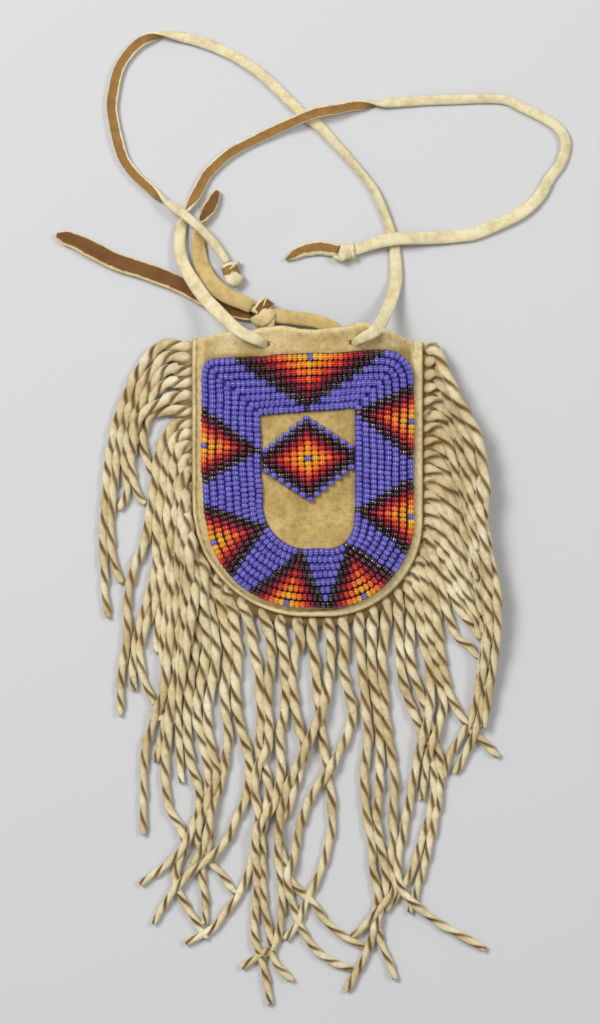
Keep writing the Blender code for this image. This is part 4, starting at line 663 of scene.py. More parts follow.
def object_of(name, bm, smooth=True):
    bmesh.ops.recalc_face_normals(bm, faces=bm.faces)
    mesh = bpy.data.meshes.new(name)
    bm.to_mesh(mesh)
    bm.free()
    if smooth:
        mesh.polygons.foreach_set("use_smooth", [True] * len(mesh.polygons))
    obj = bpy.data.objects.new(name, mesh)
    bpy.context.collection.objects.link(obj)
    return obj


def joined(name, pieces):
    """Several objects made one, with its place in its mesh."""
    deselect()
    for piece in pieces:
        piece.select_set(True)
    bpy.context.view_layer.objects.active = pieces[0]
    if len(pieces) > 1:
        bpy.ops.object.join()
    bpy.ops.object.transform_apply(location=True, rotation=True, scale=True)
    pieces[0].name = name
    pieces[0].data.name = name
    return pieces[0]


def swept(name, rings, layers=()):
    """A closed skin over rings of as many points.

    Its UV map, lace, runs along it in metres and round it from 0 to 1. Each layer
    is a name and a list of values for every point, ring by ring.
    """
    bm = bmesh.new()
    uv_layer = bm.loops.layers.uv.new("lace")
    value_layers = [bm.verts.layers.float.new(key) for key, _ in layers]
    count = len(rings[0])
    grid = []
    for r, ring in enumerate(rings):
        line = [bm.verts.new(point) for point in ring]
        for layer, (_, values) in zip(value_layers, layers):
            for vert, value in zip(line, values[r]):
                vert[layer] = value
        grid.append(line)
    reached = reach_along([sum(ring, Vector()) / count for ring in rings])
    for r in range(len(rings) - 1):
        for k in range(count):
            j = (k + 1) % count
            face = bm.faces.new((grid[r][k], grid[r][j], grid[r + 1][j], grid[r + 1][k]))
            corners = ((r, k), (r, k + 1), (r + 1, k + 1), (r + 1, k))
            for loop, (ring_index, side) in zip(face.loops, corners):
                loop[uv_layer].uv = (reached[ring_index], side / count)
    for ring in (grid[0], grid[-1]):
        for loop in bm.faces.new(ring).loops:
            loop[uv_layer].uv = CUT_END
    return object_of(name, bm)


def squarer(value, power):
    """A sine or cosine with a squarer curve, for the section of a cut lace."""
    return math.copysign(abs(value) ** power, value)


def frames_along(route):
    """Direction, side and up at each place: up leans to the sky where it can."""
    frames = []
    side = None
    for k in range(len(route)):
        ahead = (route[min(k + 1, len(route) - 1)] - route[max(k - 1, 0)]).normalized()
        flat = Vector((0, 0, 1)).cross(ahead)
        if side is None:
            side = flat.normalized() if flat.length > 0.05 else Vector((1, 0, 0))
        carried = (side - ahead * side.dot(ahead)).normalized()
        level = flat.normalized() if flat.length > 0.02 else carried
        if level.dot(carried) < 0 and flat.length < 0.5:
            level = carried
        side = carried.lerp(level, min(1.0, flat.length * 0.6)).normalized()
        up = ahead.cross(side).normalized()
        side = up.cross(ahead).normalized()
        frames.append((ahead, side, up))
    return frames


def lace_rings(route, widths, rolls, thickness, cup=0.0):
    """Cross-sections of a flat lace along a route: its grain face is up where its roll is 0."""
    reached = reach_along(route)
    rings = []
    for k, (place, (ahead, side, up)) in enumerate(zip(route, frames_along(route))):
        share = reached[k] / reached[-1]
        roll = math.radians(between(rolls, share))
        width = between(widths, share) * MM
        flesh_up = 0.5 - 0.5 * math.cos(roll)
        bend = cup * flesh_up + 0.06
        wobble = 1 + 0.06 * noise.noise(Vector((reached[k] * 160, width * 900, 3.7)))
        across = side * math.cos(roll) + up * math.sin(roll)
        normal = up * math.cos(roll) - side * math.sin(roll)
        ring = []
        for step in range(16):
            turn = 2 * math.pi * (step + 0.5) / 16
            flat_a = squarer(math.cos(turn), 0.55) * width / 2 * wobble
            flat_b = squarer(math.sin(turn), 0.7) * thickness / 2
            arch = -bend * width * ((flat_a / (width / 2)) ** 2 - 0.4)
            ring.append(place + across * flat_a + normal * (flat_b + arch))
        rings.append(ring)
    return rings


def lay_lace(name, points, widths, rolls, thickness, material, nodes, cup=0.0, step=1.4 * MM):
    """A lace with its smooth route, which is also returned."""
    route = even_route(smooth_route(points, 0.8 * MM), step)
    obj = swept(name, lace_rings(route, widths, rolls, thickness, cup))
    finish(obj, material, nodes)
    return obj, route


def leather_panel(name, depths, lip, steps, height, thickness):
    """A soft leather panel: lines from its edge inwards, raised to a height and given its thickness."""
    bm = bmesh.new()
    worn = bm.verts.layers.float.new("worn")
    painted_shade = bm.verts.layers.float.new("painted_shade")
    grid = []
    for depth in depths:
        row = Row(depth - RIM_WIDTH)
        line = []
        for point in row.sides(lip(-row.half), lip(row.half), steps):
            z, light, dark = height(point, depth)
            vert = bm.verts.new((point.x, point.y, z))
            vert[worn] = light
            vert[painted_shade] = dark
            line.append(vert)
        grid.append(line)
    for outer, inner in zip(grid, grid[1:]):
        for i in range(len(outer) - 1):
            bm.faces.new((outer[i], outer[i + 1], inner[i + 1], inner[i]))
    last = grid[-1]
    half = len(last) // 2 - 2
    for i in range(half):
        j = len(last) - 1 - i
        bm.faces.new((last[i], last[i + 1], last[j - 1], last[j]))
    bm.faces.new(last[half : len(last) - half])
    obj = object_of(name, bm)
    if sum(face.normal.z for face in obj.data.polygons) < 0:
        obj.data.flip_normals()
    make_active(obj)
    solid = obj.modifiers.new("thickness", "SOLIDIFY")
    solid.thickness = thickness
    solid.offset = -1
    solid.use_even_offset = False
    bpy.ops.object.modifier_apply(modifier=solid.name)
    return obj


def lip_front(x):
    return between(LIP_LINE, x / MM) * MM


def front_surface(point, depth):
    """The front panel's height, how pale it is with wear and painted highlight, and how dark with painted
    shade: rim, stitches, soft unevenness.
    """
    spot = Vector((point.x, point.y, 0))
    z = crown_height(spot)
    in_mm = depth / MM
    x_mm, y_mm = point.x / MM, point.y / MM
    uneven = noise.noise(spot * 170)
    ridge_width = 1.3 + 1.6 * smooth_step((x_mm + 14) / 40) + 0.25 * uneven
    ridge = math.sin(math.pi * min(in_mm / ridge_width, 1.0)) ** 0.7 * (0.62 + 0.2 * uneven)
    arc = EDGE.along(Vector((point.x, point.y)))
    pucker = 0.5 + 0.5 * math.cos(2 * math.pi * arc / STITCH_PITCH + 2 * noise.noise(spot * 60))
    groove = math.exp(-(((in_mm - ridge_width - 0.1) / 0.3) ** 2))
    ridge *= 0.85 + 0.3 * pucker
    z += (ridge - groove * (0.15 + 0.4 * pucker)) * MM
    soft = noise.noise(spot * 95) * 0.55 + noise.noise(spot * 260) * 0.25
    z += soft * MM * smooth_step((in_mm - 2.5) / 4)
    z += noise.noise(spot * 420) * 0.14 * MM
    over = smooth_step((y_mm - BAND_TOP - BAND_TOP_TILT * x_mm + 0.5) / 1.6)
    light = (1 - smooth_step((in_mm - ridge_width + 0.3) / 0.8)) * (0.78 + 0.2 * uneven)
    margin = (1 - smooth_step((in_mm - 3.3) / 0.8)) * (0.45 + 0.3 * noise.noise(spot * 240))
    # a painted highlight along the mouth's lip
    near_lip = smooth_step((y_mm - lip_front(point.x) / MM + 2.2) / 2.2)
    cloudy = 0.35 + 0.5 * noise.noise(spot * 150)
    # painted shade: the turned-under edge is less pale and darker, and so are the groove inside the rim
    # and the leather under the beads
    turned_under = 1 - smooth_step(in_mm / 0.45)
    light = max(light, margin, over * cloudy, near_lip * 0.7) * (1 - 0.7 * turned_under)
    beaded = smooth_step((in_mm - 3.3) / 0.6) * (1 - smooth_step((in_mm - 19.5) / 0.8)) * (1 - over)
    dark = max(groove * 0.7 * (0.35 + 0.65 * pucker), 0.5 * beaded, 0.65 * turned_under)
    return z, light, dark


def back_surface(point, depth):
    """The flat back panel's height, a little pale with wear, and no painted shade."""
    spot = Vector((point.x, point.y, 5))
    return seam_height(point.y), 0.1 + 0.3 * max(0.0, noise.noise(spot * 120)), 0.0


def back_lip(x):
    return LIP_Y - 2.6 * MM * (x / EDGE.half) ** 2


def cut_slits(panel, places, size):
    """Cuts the slits that the thongs pass through."""
    for x, y in places:
        deselect()
        bpy.ops.mesh.primitive_cube_add(size=1, location=(x * MM, y * MM, 0.01))
        cutter = bpy.context.object
        cutter.scale = (size[0] * MM, size[1] * MM, 0.04)
        make_active(panel)
        cut = panel.modifiers.new("slit", "BOOLEAN")
        cut.operation = "DIFFERENCE"
        cut.object = cutter
        bpy.ops.object.modifier_apply(modifier=cut.name)
        bpy.data.objects.remove(cutter)


def make_panels(material):
    depths = [d * MM for d in (0, 0.25, 0.6, 1.0, 1.4, 1.75, 2.05, 2.35, 2.8, 3.4, 4.2)]
    depths += [(5 + 1.05 * k) * MM for k in range(27)]
    front = leather_panel("front_leather", depths, lip_front, (44, 30, 6), front_surface, 1.2 * MM)
    cut_slits(front, FRONT_SLITS, FRONT_SLIT)
    finish(front, material, ["front_panel"])
    coarse = [0] + [k * 1.7 * MM for k in range(1, 19)]
    back = leather_panel("back_leather", coarse, back_lip, (30, 20, 4), back_surface, LEATHER)
    cut_slits(back, BACK_SLITS, BACK_SLIT)
    finish(back, material, ["back_panel"])


def sewn_place(flat, row_in):
    """A place in the band as hand-sewn rows have it: the left side leans, and all of it wanders."""
    x, y = flat
    if x < 0:
        x += 0.9 * MM * math.exp(-(((y + 9 * MM) / (11 * MM)) ** 2)) * smooth_step(-x / (8 * MM))
    y += x * (0.012 + 0.03 * smooth_step(row_in / ROW_COUNT)) * smooth_step((y - 10 * MM) / (8 * MM))
    shared = noise.noise_vector(Vector((x, y, 0)) * 105) * 0.36 * MM
    own = noise.noise_vector(Vector((x, y, 3.1 * row_in * MM)) * 190) * 0.13 * MM
    return Vector((x + shared.x + own.x, y + shared.y + own.y))


def eased(row, arc, row_in):
    """A place on a row that bends round the two top corners, the rows further in more sharply."""
    inset = (row_in - 0.5) * ROW_PITCH
    for corner, ease in ((0.0, LEFT_EASE), (row.length, RIGHT_EASE)):
        ease = max(ease - 1.1 * inset, SHARPEST_EASE)
        t = (arc - corner + ease) / (2 * ease)
        if 0 < t < 1:
            before, turn, after = row.at(corner - ease), row.at(corner), row.at(corner + ease)
            return before * (1 - t) ** 2 + turn * 2 * t * (1 - t) + after * t * t
    return row.at(arc)


class SewnRow:
    """One row of the band as a fine line from the top motif's middle all the way round to it again."""

    def __init__(self, row_in):
        row = Row(row_in * ROW_PITCH)
        share = row_in / ROW_COUNT
        top = Vector(TOP_AXIS[0]).lerp(Vector(TOP_AXIS[1]), share) * MM
        start, end = -(top.x + row.half), row.length + row.half - top.x
        count = int((end - start) / (0.35 * MM))
        arcs = [start + (end - start) * k / count for k in range(count + 1)]
        self.line = [sewn_place(eased(row, arc, row_in), row_in) for arc in arcs]
        self.reached = reach_along(self.line)
        self.axes = [0.0]
        for base, tip in MOTIF_AXES.values():
            spot = sewn_place(Vector(base).lerp(Vector(tip), share) * MM, row_in)
            nearest = min(range(len(self.line)), key=lambda k: (self.line[k] - spot).length)
            self.axes.append(self.reached[nearest])
        self.axes.append(self.reached[-1])

    def frame(self, reach):
        """Middle of a bead on the leather, and its turned axes: along the row, across it and out."""
        k = min(range(len(self.reached)), key=lambda n: abs(self.reached[n] - reach))
        k = min(max(k, 1), len(self.line) - 2)
        before, here, after = self.line[k - 1 : k + 2]
        slope = (after - before).normalized()
        flat = here + slope * (reach - self.reached[k])
        centre = on_leather(flat)
        out = leather_normal(flat)
        along = Vector((slope.x, slope.y, 0))
        along = (along - out * along.dot(out)).normalized()
        return centre, along, out.cross(along), out


def on_leather(flat):
    """The place on the front panel's face above a flat place."""
    spot = Vector((flat.x, flat.y, 0))
    return Vector((flat.x, flat.y, crown_height(spot)))


def leather_normal(flat):
    """The direction straight out of the front panel's face."""
    right = Vector((0.4 * MM, 0))
    ahead = Vector((0, 0.4 * MM))
    slope = on_leather(flat + right) - on_leather(flat - right)
    rise = on_leather(flat + ahead) - on_leather(flat - ahead)
    return slope.cross(rise).normalized()


def motif_colour(j):
    if j < 0 or j >= len(MOTIF_COLOURS):
        return "blue"
    return MOTIF_COLOURS[j]


def band_beads(rows):
    """The band's beads row by row, each with its field, colour and place."""
    lines = []
    names = ["top"] + list(MOTIF_AXES) + ["top"]
    for r, row in enumerate(rows):
        beads = []
        for m in range(len(names) - 1):
            start, end = row.axes[m], row.axes[m + 1]
            count = max(2, round((end - start) / BEAD_PITCH))
            for k in range(count):
                options = []
                for name, i in ((names[m], k), (names[m + 1], count - k)):
                    j = math.floor((14 - 2 * r - i) / 2) if name == "top" else 7 - r - i
                    options.append((j, name))
                j, name = max(options)
                if j < 0:
                    node = f"ground_{names[m]}_to_{names[m + 1]}"
                elif j >= 7:
                    node = name + "_blue_bead"
                else:
                    node = f"{name}_{RING_NAMES[j]}_beads"
                beads.append((node, motif_colour(j), row.frame(start + (end - start) * k / count)))
        lines.append(beads)
    return lines


def diamond_beads():
    """The diamond's beads, worked in upright columns."""
    lines = []
    turn = Matrix.Rotation(DIAMOND_TILT, 2)
    along = (turn @ Vector((0, 1))).to_3d()
    across = (turn @ Vector((1, 0))).to_3d()
    out = Vector((0, 0, 1))
    for column in range(-6, 7):
        height = 8 - abs(column)
        beads = []
        for i in range(-height, height + 1):
            j = height - abs(i)
            colour = motif_colour(j - 1) if j > 0 else "blue"
            offset = Vector((column * DIAMOND_PITCH * MM, i * BEAD_PITCH))
            centre = on_leather(Vector(DIAMOND_CENTRE) * MM + turn @ offset)
            if j == 0:
                node = "diamond_upper_edging" if i > 0 else "diamond_lower_edging"
            elif j == 8:
                node = "diamond_centre_bead"
            else:
                node = f"diamond_{RING_NAMES[j - 1]}_beads"
            beads.append((node, colour, (centre, along, across, out)))
        lines.append(beads)
    return lines


def barrel_bead():
    """One bead, a short barrel with rounded ends, lying along X."""
    deselect()
    bpy.ops.mesh.primitive_cylinder_add(
        vertices=10, radius=BEAD_RADIUS, depth=BEAD_LENGTH, rotation=(0, math.pi / 2, 0)
    )
    bead = bpy.context.object
    bead.name = "barrel_bead"
    bpy.ops.object.transform_apply(location=True, rotation=True, scale=True)
    bpy.ops.object.mode_set(mode="EDIT")
    bpy.ops.mesh.select_all(action="DESELECT")
    bm = bmesh.from_edit_mesh(bead.data)
    for edge in bm.edges:
        edge.select = edge.verts[0].co.x * edge.verts[1].co.x > 0
    bm.select_flush(True)
    bmesh.update_edit_mesh(bead.data)
    bpy.ops.mesh.bevel(offset=BEAD_ROUNDING, segments=2, affect="EDGES")
    bpy.ops.object.mode_set(mode="OBJECT")
    bpy.ops.object.shade_smooth()
    return bead


def sew_beads(lines, glass):
    """Copies the bead to every place, and joins the beads of each colour field into one piece."""
    bead = barrel_bead()
    chance = random.Random(11)
    fields = {}
    for node, colour, (centre, along, across, out) in (bead for line in lines for bead in line):
        mesh = bead.data.copy()
        mesh.materials.append(glass[colour])
        copy = bpy.data.objects.new(node, mesh)
        bpy.context.collection.objects.link(copy)
        size = 1 + chance.uniform(-0.07, 0.05)
        fat = 1 + chance.uniform(-0.05, 0.03)
        place = centre + out * (BEAD_LIFT + chance.uniform(-0.06, 0.06) * MM)
        place += across * chance.uniform(-0.09, 0.09) * MM
        basis = Matrix((along * size, across * fat, out * fat)).transposed().to_4x4()
        lean = Matrix.Rotation(chance.uniform(-0.12, 0.12), 4, "Z")
        copy.matrix_world = Matrix.Translation(place) @ basis @ lean
        fields.setdefault(node, []).append(copy)
    bpy.data.objects.remove(bead)
    bpy.context.view_layer.update()
    for node, copies in fields.items():
        name = node.replace("_beads", "").replace("_bead", "") + "_seed_beads"
        field = joined(name, copies)
        finish(field, None, [node])


def lay_thread_and_shade(lines, material):
    """The flat bed of thread under each row, wide enough to be painted shade between the beads, and dark
    red painted shade under the motifs' beads.
    """
    strips = []
    corners = ((-1, -0.12), (-1, 0.12), (1, 0.12), (1, -0.12))
    for number, line in enumerate(lines):
        # wider than real thread: the strips stand for painted shade between the beads
        if number >= ROW_COUNT:
            width = DIAMOND_PITCH * 0.95 * MM
        elif number in (0, ROW_COUNT - 1):
            width = ROW_PITCH
        else:
            width = ROW_PITCH * 1.4
        whole_row = line + line[:1] if number < ROW_COUNT else line
        rings = []
        warmth = []
        for _, colour, (centre, _, across, out) in whole_row:
            base = centre + out * THREAD_LIFT
            rings.append([base + across * a * width / 2 + out * b * MM for a, b in corners])
            # dark red painted shade wherever the bead above is not blue
            warmth.append([0.0 if colour == "blue" else 1.0] * 4)
        strips.append(swept("row_thread_and_shade", rings, [("warm", warmth)]))
    thread = joined("bead_sewing_thread", strips)
    finish(thread, material, ())


def clear_of_edge(point, radius):
    """A strand's place, moved out of the pouch's edge where it lies in it."""
    wanted = radius + CLEARANCE
    for _ in range(4):
        lack = wanted + inside(point)
        if lack <= 0:
            return point
        right = Vector((0.05 * MM, 0))
        ahead = Vector((0, 0.05 * MM))
        slope = Vector((
            inside(point + right) - inside(point - right),
            inside(point + ahead) - inside(point - ahead),
        ))
        point = point - slope.normalized() * lack
    return point


def lay_strands():
    """Each strand as even places and radii, laid in turn on the floor and on those under it."""
    laid = []
    root_row = Row(-RIM_WIDTH - STRAND_ROOT_RADIUS * STRAND_TWIST_TIGHT)
    for number, flat_route in enumerate(STRAND_ROUTES):
        first = Vector(flat_route[0]) * MM
        shift = (root_row.at(root_row.along(first)) - first) / MM
        points = [(x + shift.x, y + shift.y, 0) for x, y in flat_route]
        route = even_route(smooth_route(points, MM), STRAND_STEP)
        at_side = number < LEFT_STRANDS or number >= LEFT_STRANDS + BOTTOM_STRANDS
        strand = []
        for k, place in enumerate(route):
            share = k / (len(route) - 1)
            radius = STRAND_ROOT_RADIUS + (STRAND_TIP_RADIUS - STRAND_ROOT_RADIUS) * share
            radius *= STRAND_TWIST_TIGHT + (0.09 * (1 - share) if at_side else 0)
            chance = noise.noise_vector(Vector((share * len(route) * 0.14, number * 1.7, 0.5)))
            sway = chance.x * (0.4 + 1.1 * share) * MM
            flat = clear_of_edge(Vector((place.x + sway, place.y)), radius) if k > 0 else place.xy
            height = radius + FLOOR_GAP
            for other in laid:
                for there, size in other:
                    if max(abs(there.x - flat.x), abs(there.y - flat.y)) >= NEAR_STRAND:
                        continue
                    apart = (flat - there.xy).length
                    room = STACK_ROOM * (radius + size)
                    if apart < room:
                        height = max(height, there.z + math.sqrt(room**2 - apart**2))
            if k == 0:
                height = seam_height(flat.y) + CLEARANCE + LEATHER / 2
            strand.append((Vector((flat.x, flat.y, min(height, HIGHEST_STRAND))), radius))
        laid.append(strand)
    return settled(laid)


def settled(laid):
    """Lets the strands slump: each sinks and pulls home, and those that cross push one another apart."""
    homes = [[tuple(place) for place, _ in strand] for strand in laid]
    places = [[list(place) for place, _ in strand] for strand in laid]
    radii = [[radius for _, radius in strand] for strand in laid]
    for turn in range(SETTLING_TURNS):
        grid = {}
        for s, line in enumerate(places):
            for k, place in enumerate(line):
                cell = (int(place[0] // SETTLING_CELL), int(place[1] // SETTLING_CELL))
                grid.setdefault(cell, []).append((s, k))
        for (cx, cy), members in grid.items():
            others = []
            for step in ((1, 0), (0, 1), (1, 1), (1, -1)):
                others += grid.get((cx + step[0], cy + step[1]), ())
            for n, (s, k) in enumerate(members):
                p, r = places[s][k], radii[s][k]
                for t, m in members[n + 1 :] + others:
                    if t == s:
                        continue
                    q = places[t][m]
                    room = SOFT_ROOM * (r + radii[t][m])
                    gap = [p[0] - q[0], p[1] - q[1], p[2] - q[2]]
                    apart = math.sqrt(gap[0] * gap[0] + gap[1] * gap[1] + gap[2] * gap[2])
                    if apart >= room:
                        continue
                    if apart < SMALLEST_GAP:
                        gap = [0.0, 0.0, SMALLEST_GAP if s > t else -SMALLEST_GAP]
                        apart = SMALLEST_GAP
                    push = PUSH_SHARE * (room - apart) / apart
                    for axis in range(3):
                        if k > 0:
                            p[axis] += gap[axis] * push
                        if m > 0:
                            q[axis] -= gap[axis] * push
        sink = SINK if turn < SETTLING_TURNS - LAST_TURNS else LAST_SINK
        for s, line in enumerate(places):
            home = homes[s]
            moved = [(p[0] - h[0], p[1] - h[1], p[2]) for p, h in zip(line, home)]
            for k in range(1, len(line)):
                last = moved[k + 1] if k + 1 < len(line) else moved[k]
                dx = moved[k][0] * 0.5 + (moved[k - 1][0] + last[0]) * 0.25
                dy = moved[k][1] * 0.5 + (moved[k - 1][1] + last[1]) * 0.25
                z = moved[k][2] * 0.6 + (moved[k - 1][2] + last[2]) * 0.2
                line[k][0] = home[k][0] + dx * HOME_PULL
                line[k][1] = home[k][1] + dy * HOME_PULL
                line[k][2] = max(z - sink, radii[s][k] + FLOOR_GAP)
        if turn % 10 == 9:
            for s, line in enumerate(places):
                for k in range(1, len(line)):
                    flat = clear_of_edge(Vector((line[k][0], line[k][1])), radii[s][k])
                    line[k][0], line[k][1] = flat
    return [[(Vector(p), r) for p, r in zip(line, sizes)] for line, sizes in zip(places, radii)]


def twisted_strand(laid, chance):
    """A flat strip twisted tight: its two edges wind round it and lap, and brown shows under each: the
    flesh side with painted shade over it, and painted shade at the root.
    """
    places = [place for place, _ in laid]
    inner = Row(-RIM_WIDTH + 0.6 * MM)
    seat = inner.at(inner.along(places[0].xy))
    start = Vector((seat.x, seat.y, seam_height(seat.y) + CLEARANCE + LEATHER / 2))
    route = even_route(smooth_route([tuple(p / MM) for p in [start] + places], 0.5 * MM), 0.55 * MM)
    frames = frames_along(route)
    reached = reach_along(route)
    length = reached[-1]
    lap_every = chance.uniform(*LAP_LENGTHS)
    turn = chance.uniform(0, 2 * math.pi)
    tone = chance.uniform(0.0, 0.3) ** 1.5
    rings, laps, shades = [], [], []
    steps = 6
    for k, (place, (ahead, side, up)) in enumerate(zip(route, frames)):
        share = reached[k] / length
        radius = laid[0][1] + (laid[-1][1] - laid[0][1]) * share
        grown = smooth_step((reached[k] + 0.4 * MM) / ROOT_GROWTH)
        uneven = noise.noise(Vector((reached[k] * 150, turn * 0.3, 1.3)))
        radius *= 0.8 + 0.3 * grown - 0.08 * smooth_step(reached[k] / (15 * MM)) + 0.09 * uneven
        if length - reached[k] < CUT_TIP:
            radius *= 0.85
        tight = 1 + 0.25 * noise.noise(Vector((reached[k] * 45, tone * 90, 8.8)))
        tight *= 0.8 + 0.2 * smooth_step(reached[k] / (20 * MM))
        turn += 2 * math.pi * (route[k] - route[k - 1]).length / (lap_every * tight) if k else 0
        ring, lap, shade = [], [], []
        for c in range(2 * steps):
            angle = -turn + math.pi * c / steps
            lobe, step = divmod(c, steps)
            reach = radius * (0.8 + 0.38 * step / (steps - 1))
            flat = side * math.cos(angle) + up * math.sin(angle) * STRAND_FLATNESS
            ring.append(place + flat * reach)
            # how dark each of the laps is painted: brown flesh side and painted shade, bolder where the
            # laps face up
            facing = max(0.0, math.sin(math.pi * lobe - turn))
            patchy = noise.noise(Vector((reached[k] * 260, turn, 4.4 + lobe)))
            bold = 0.1 + 0.85 * facing + 0.35 * patchy
            open_by = (bold + 0.25, bold - 0.1, 0.45 * bold - 0.3, 0.0, 0.0, 0.1 * bold)[step]
            lap.append(min(max(open_by, 0.0), 1.0) * grown)
            # the strand's own tone, and painted shade over its first 2.6 mm under the rim
            shade.append(max(tone, 0.8 * (1 - smooth_step(reached[k] / (2.6 * MM)))))
        rings.append(ring)
        laps.append(lap)
        shades.append(shade)
    return swept("strand", rings, [("lap", laps), ("shade", shades)])


def make_fringe(material, welt_material):
    chance = random.Random(5)
    strands = [twisted_strand(strand, chance) for strand in lay_strands()]
    right_start = LEFT_STRANDS + BOTTOM_STRANDS
    for name, group in (
        ("left_fringe", strands[:LEFT_STRANDS]),
        ("bottom_fringe", strands[LEFT_STRANDS:right_start]),
        ("right_fringe", strands[right_start:]),
    ):
        finish(joined(name, group), material, ["fringed_welt"])
    outer = Row(-RIM_WIDTH - WELT_OUTSIDE)
    inner = Row(-RIM_WIDTH + WELT_INSIDE)
    rings = []
    steps = (60, 44, 8)
    lines = [row.sides(SEAM_TOP, SEAM_TOP, steps) for row in (outer, inner)]
    for out, within in zip(*lines):
        wave = noise.noise(Vector((out.x * 700, out.y * 700, 2.0)))
        wider = 1.5 * smooth_step((out.y / MM + 12) / 20)
        far = out + (out - within).normalized() * (wave * 0.5 + wider) * MM
        low = seam_height(out.y) + 0.35 * MM
        rings.append([
            Vector((far.x, far.y, low + 0.1 * MM)),
            Vector((within.x, within.y, low)),
            Vector((within.x, within.y, low + 1.1 * MM)),
            Vector((far.x, far.y, low + 0.95 * MM + wave * 0.2 * MM)),
        ])
    # painted shade all over the welt under the rim and between the strands' roots, darkest at its outer
    # edge
    welt = swept("leather_welt", rings, [("painted_shade", [[0.95, 0.6, 0.6, 0.95]] * len(rings))])
    finish(welt, welt_material, ["fringed_welt"])


def wrap(centre, axis, radius, advance, turns, start, width, thickness, roll=0.0):
    """A turn of lace wound round a thong, as in a pulled-tight knot: places and sizes in millimetres."""
    ahead = Vector((*axis, 0)).normalized()
    side = Vector((-ahead.y, ahead.x, 0))
    points = []
    steps = int(18 * turns)
    for k in range(steps + 1):
        angle = start + 2 * math.pi * turns * k / steps
        spot = Vector(centre) + ahead * (advance * (k / steps - 0.5))
        spot += side * math.cos(angle) * radius[0]
        spot.z += math.sin(angle) * radius[1] * 0.8
        points.append(spot * MM)
    rings = []
    middle = Vector(centre) * MM
    for k, place in enumerate(points):
        forward = (points[min(k + 1, steps)] - points[max(k - 1, 0)]).normalized()
        out = place - middle
        out -= ahead * out.dot(ahead)
        out = (out - forward * out.dot(forward)).normalized()
        across = forward.cross(out)
        rolled_across = across * math.cos(roll) + out * math.sin(roll)
        rolled_out = out * math.cos(roll) - across * math.sin(roll)
        end_ease = 0.55 + 0.45 * smooth_step(min(k, steps - k) / 3)
        ring = []
        for step in range(12):
            turn = 2 * math.pi * (step + 0.5) / 12
            flat_a = squarer(math.cos(turn), 0.6) * width * MM / 2 * end_ease
            flat_b = squarer(math.sin(turn), 0.7) * thickness * MM / 2
            flat_b -= 0.08 * width * MM * math.cos(turn) ** 2
            ring.append(place + rolled_across * flat_a + rolled_out * flat_b)
        rings.append(ring)
    return swept("turn", rings)


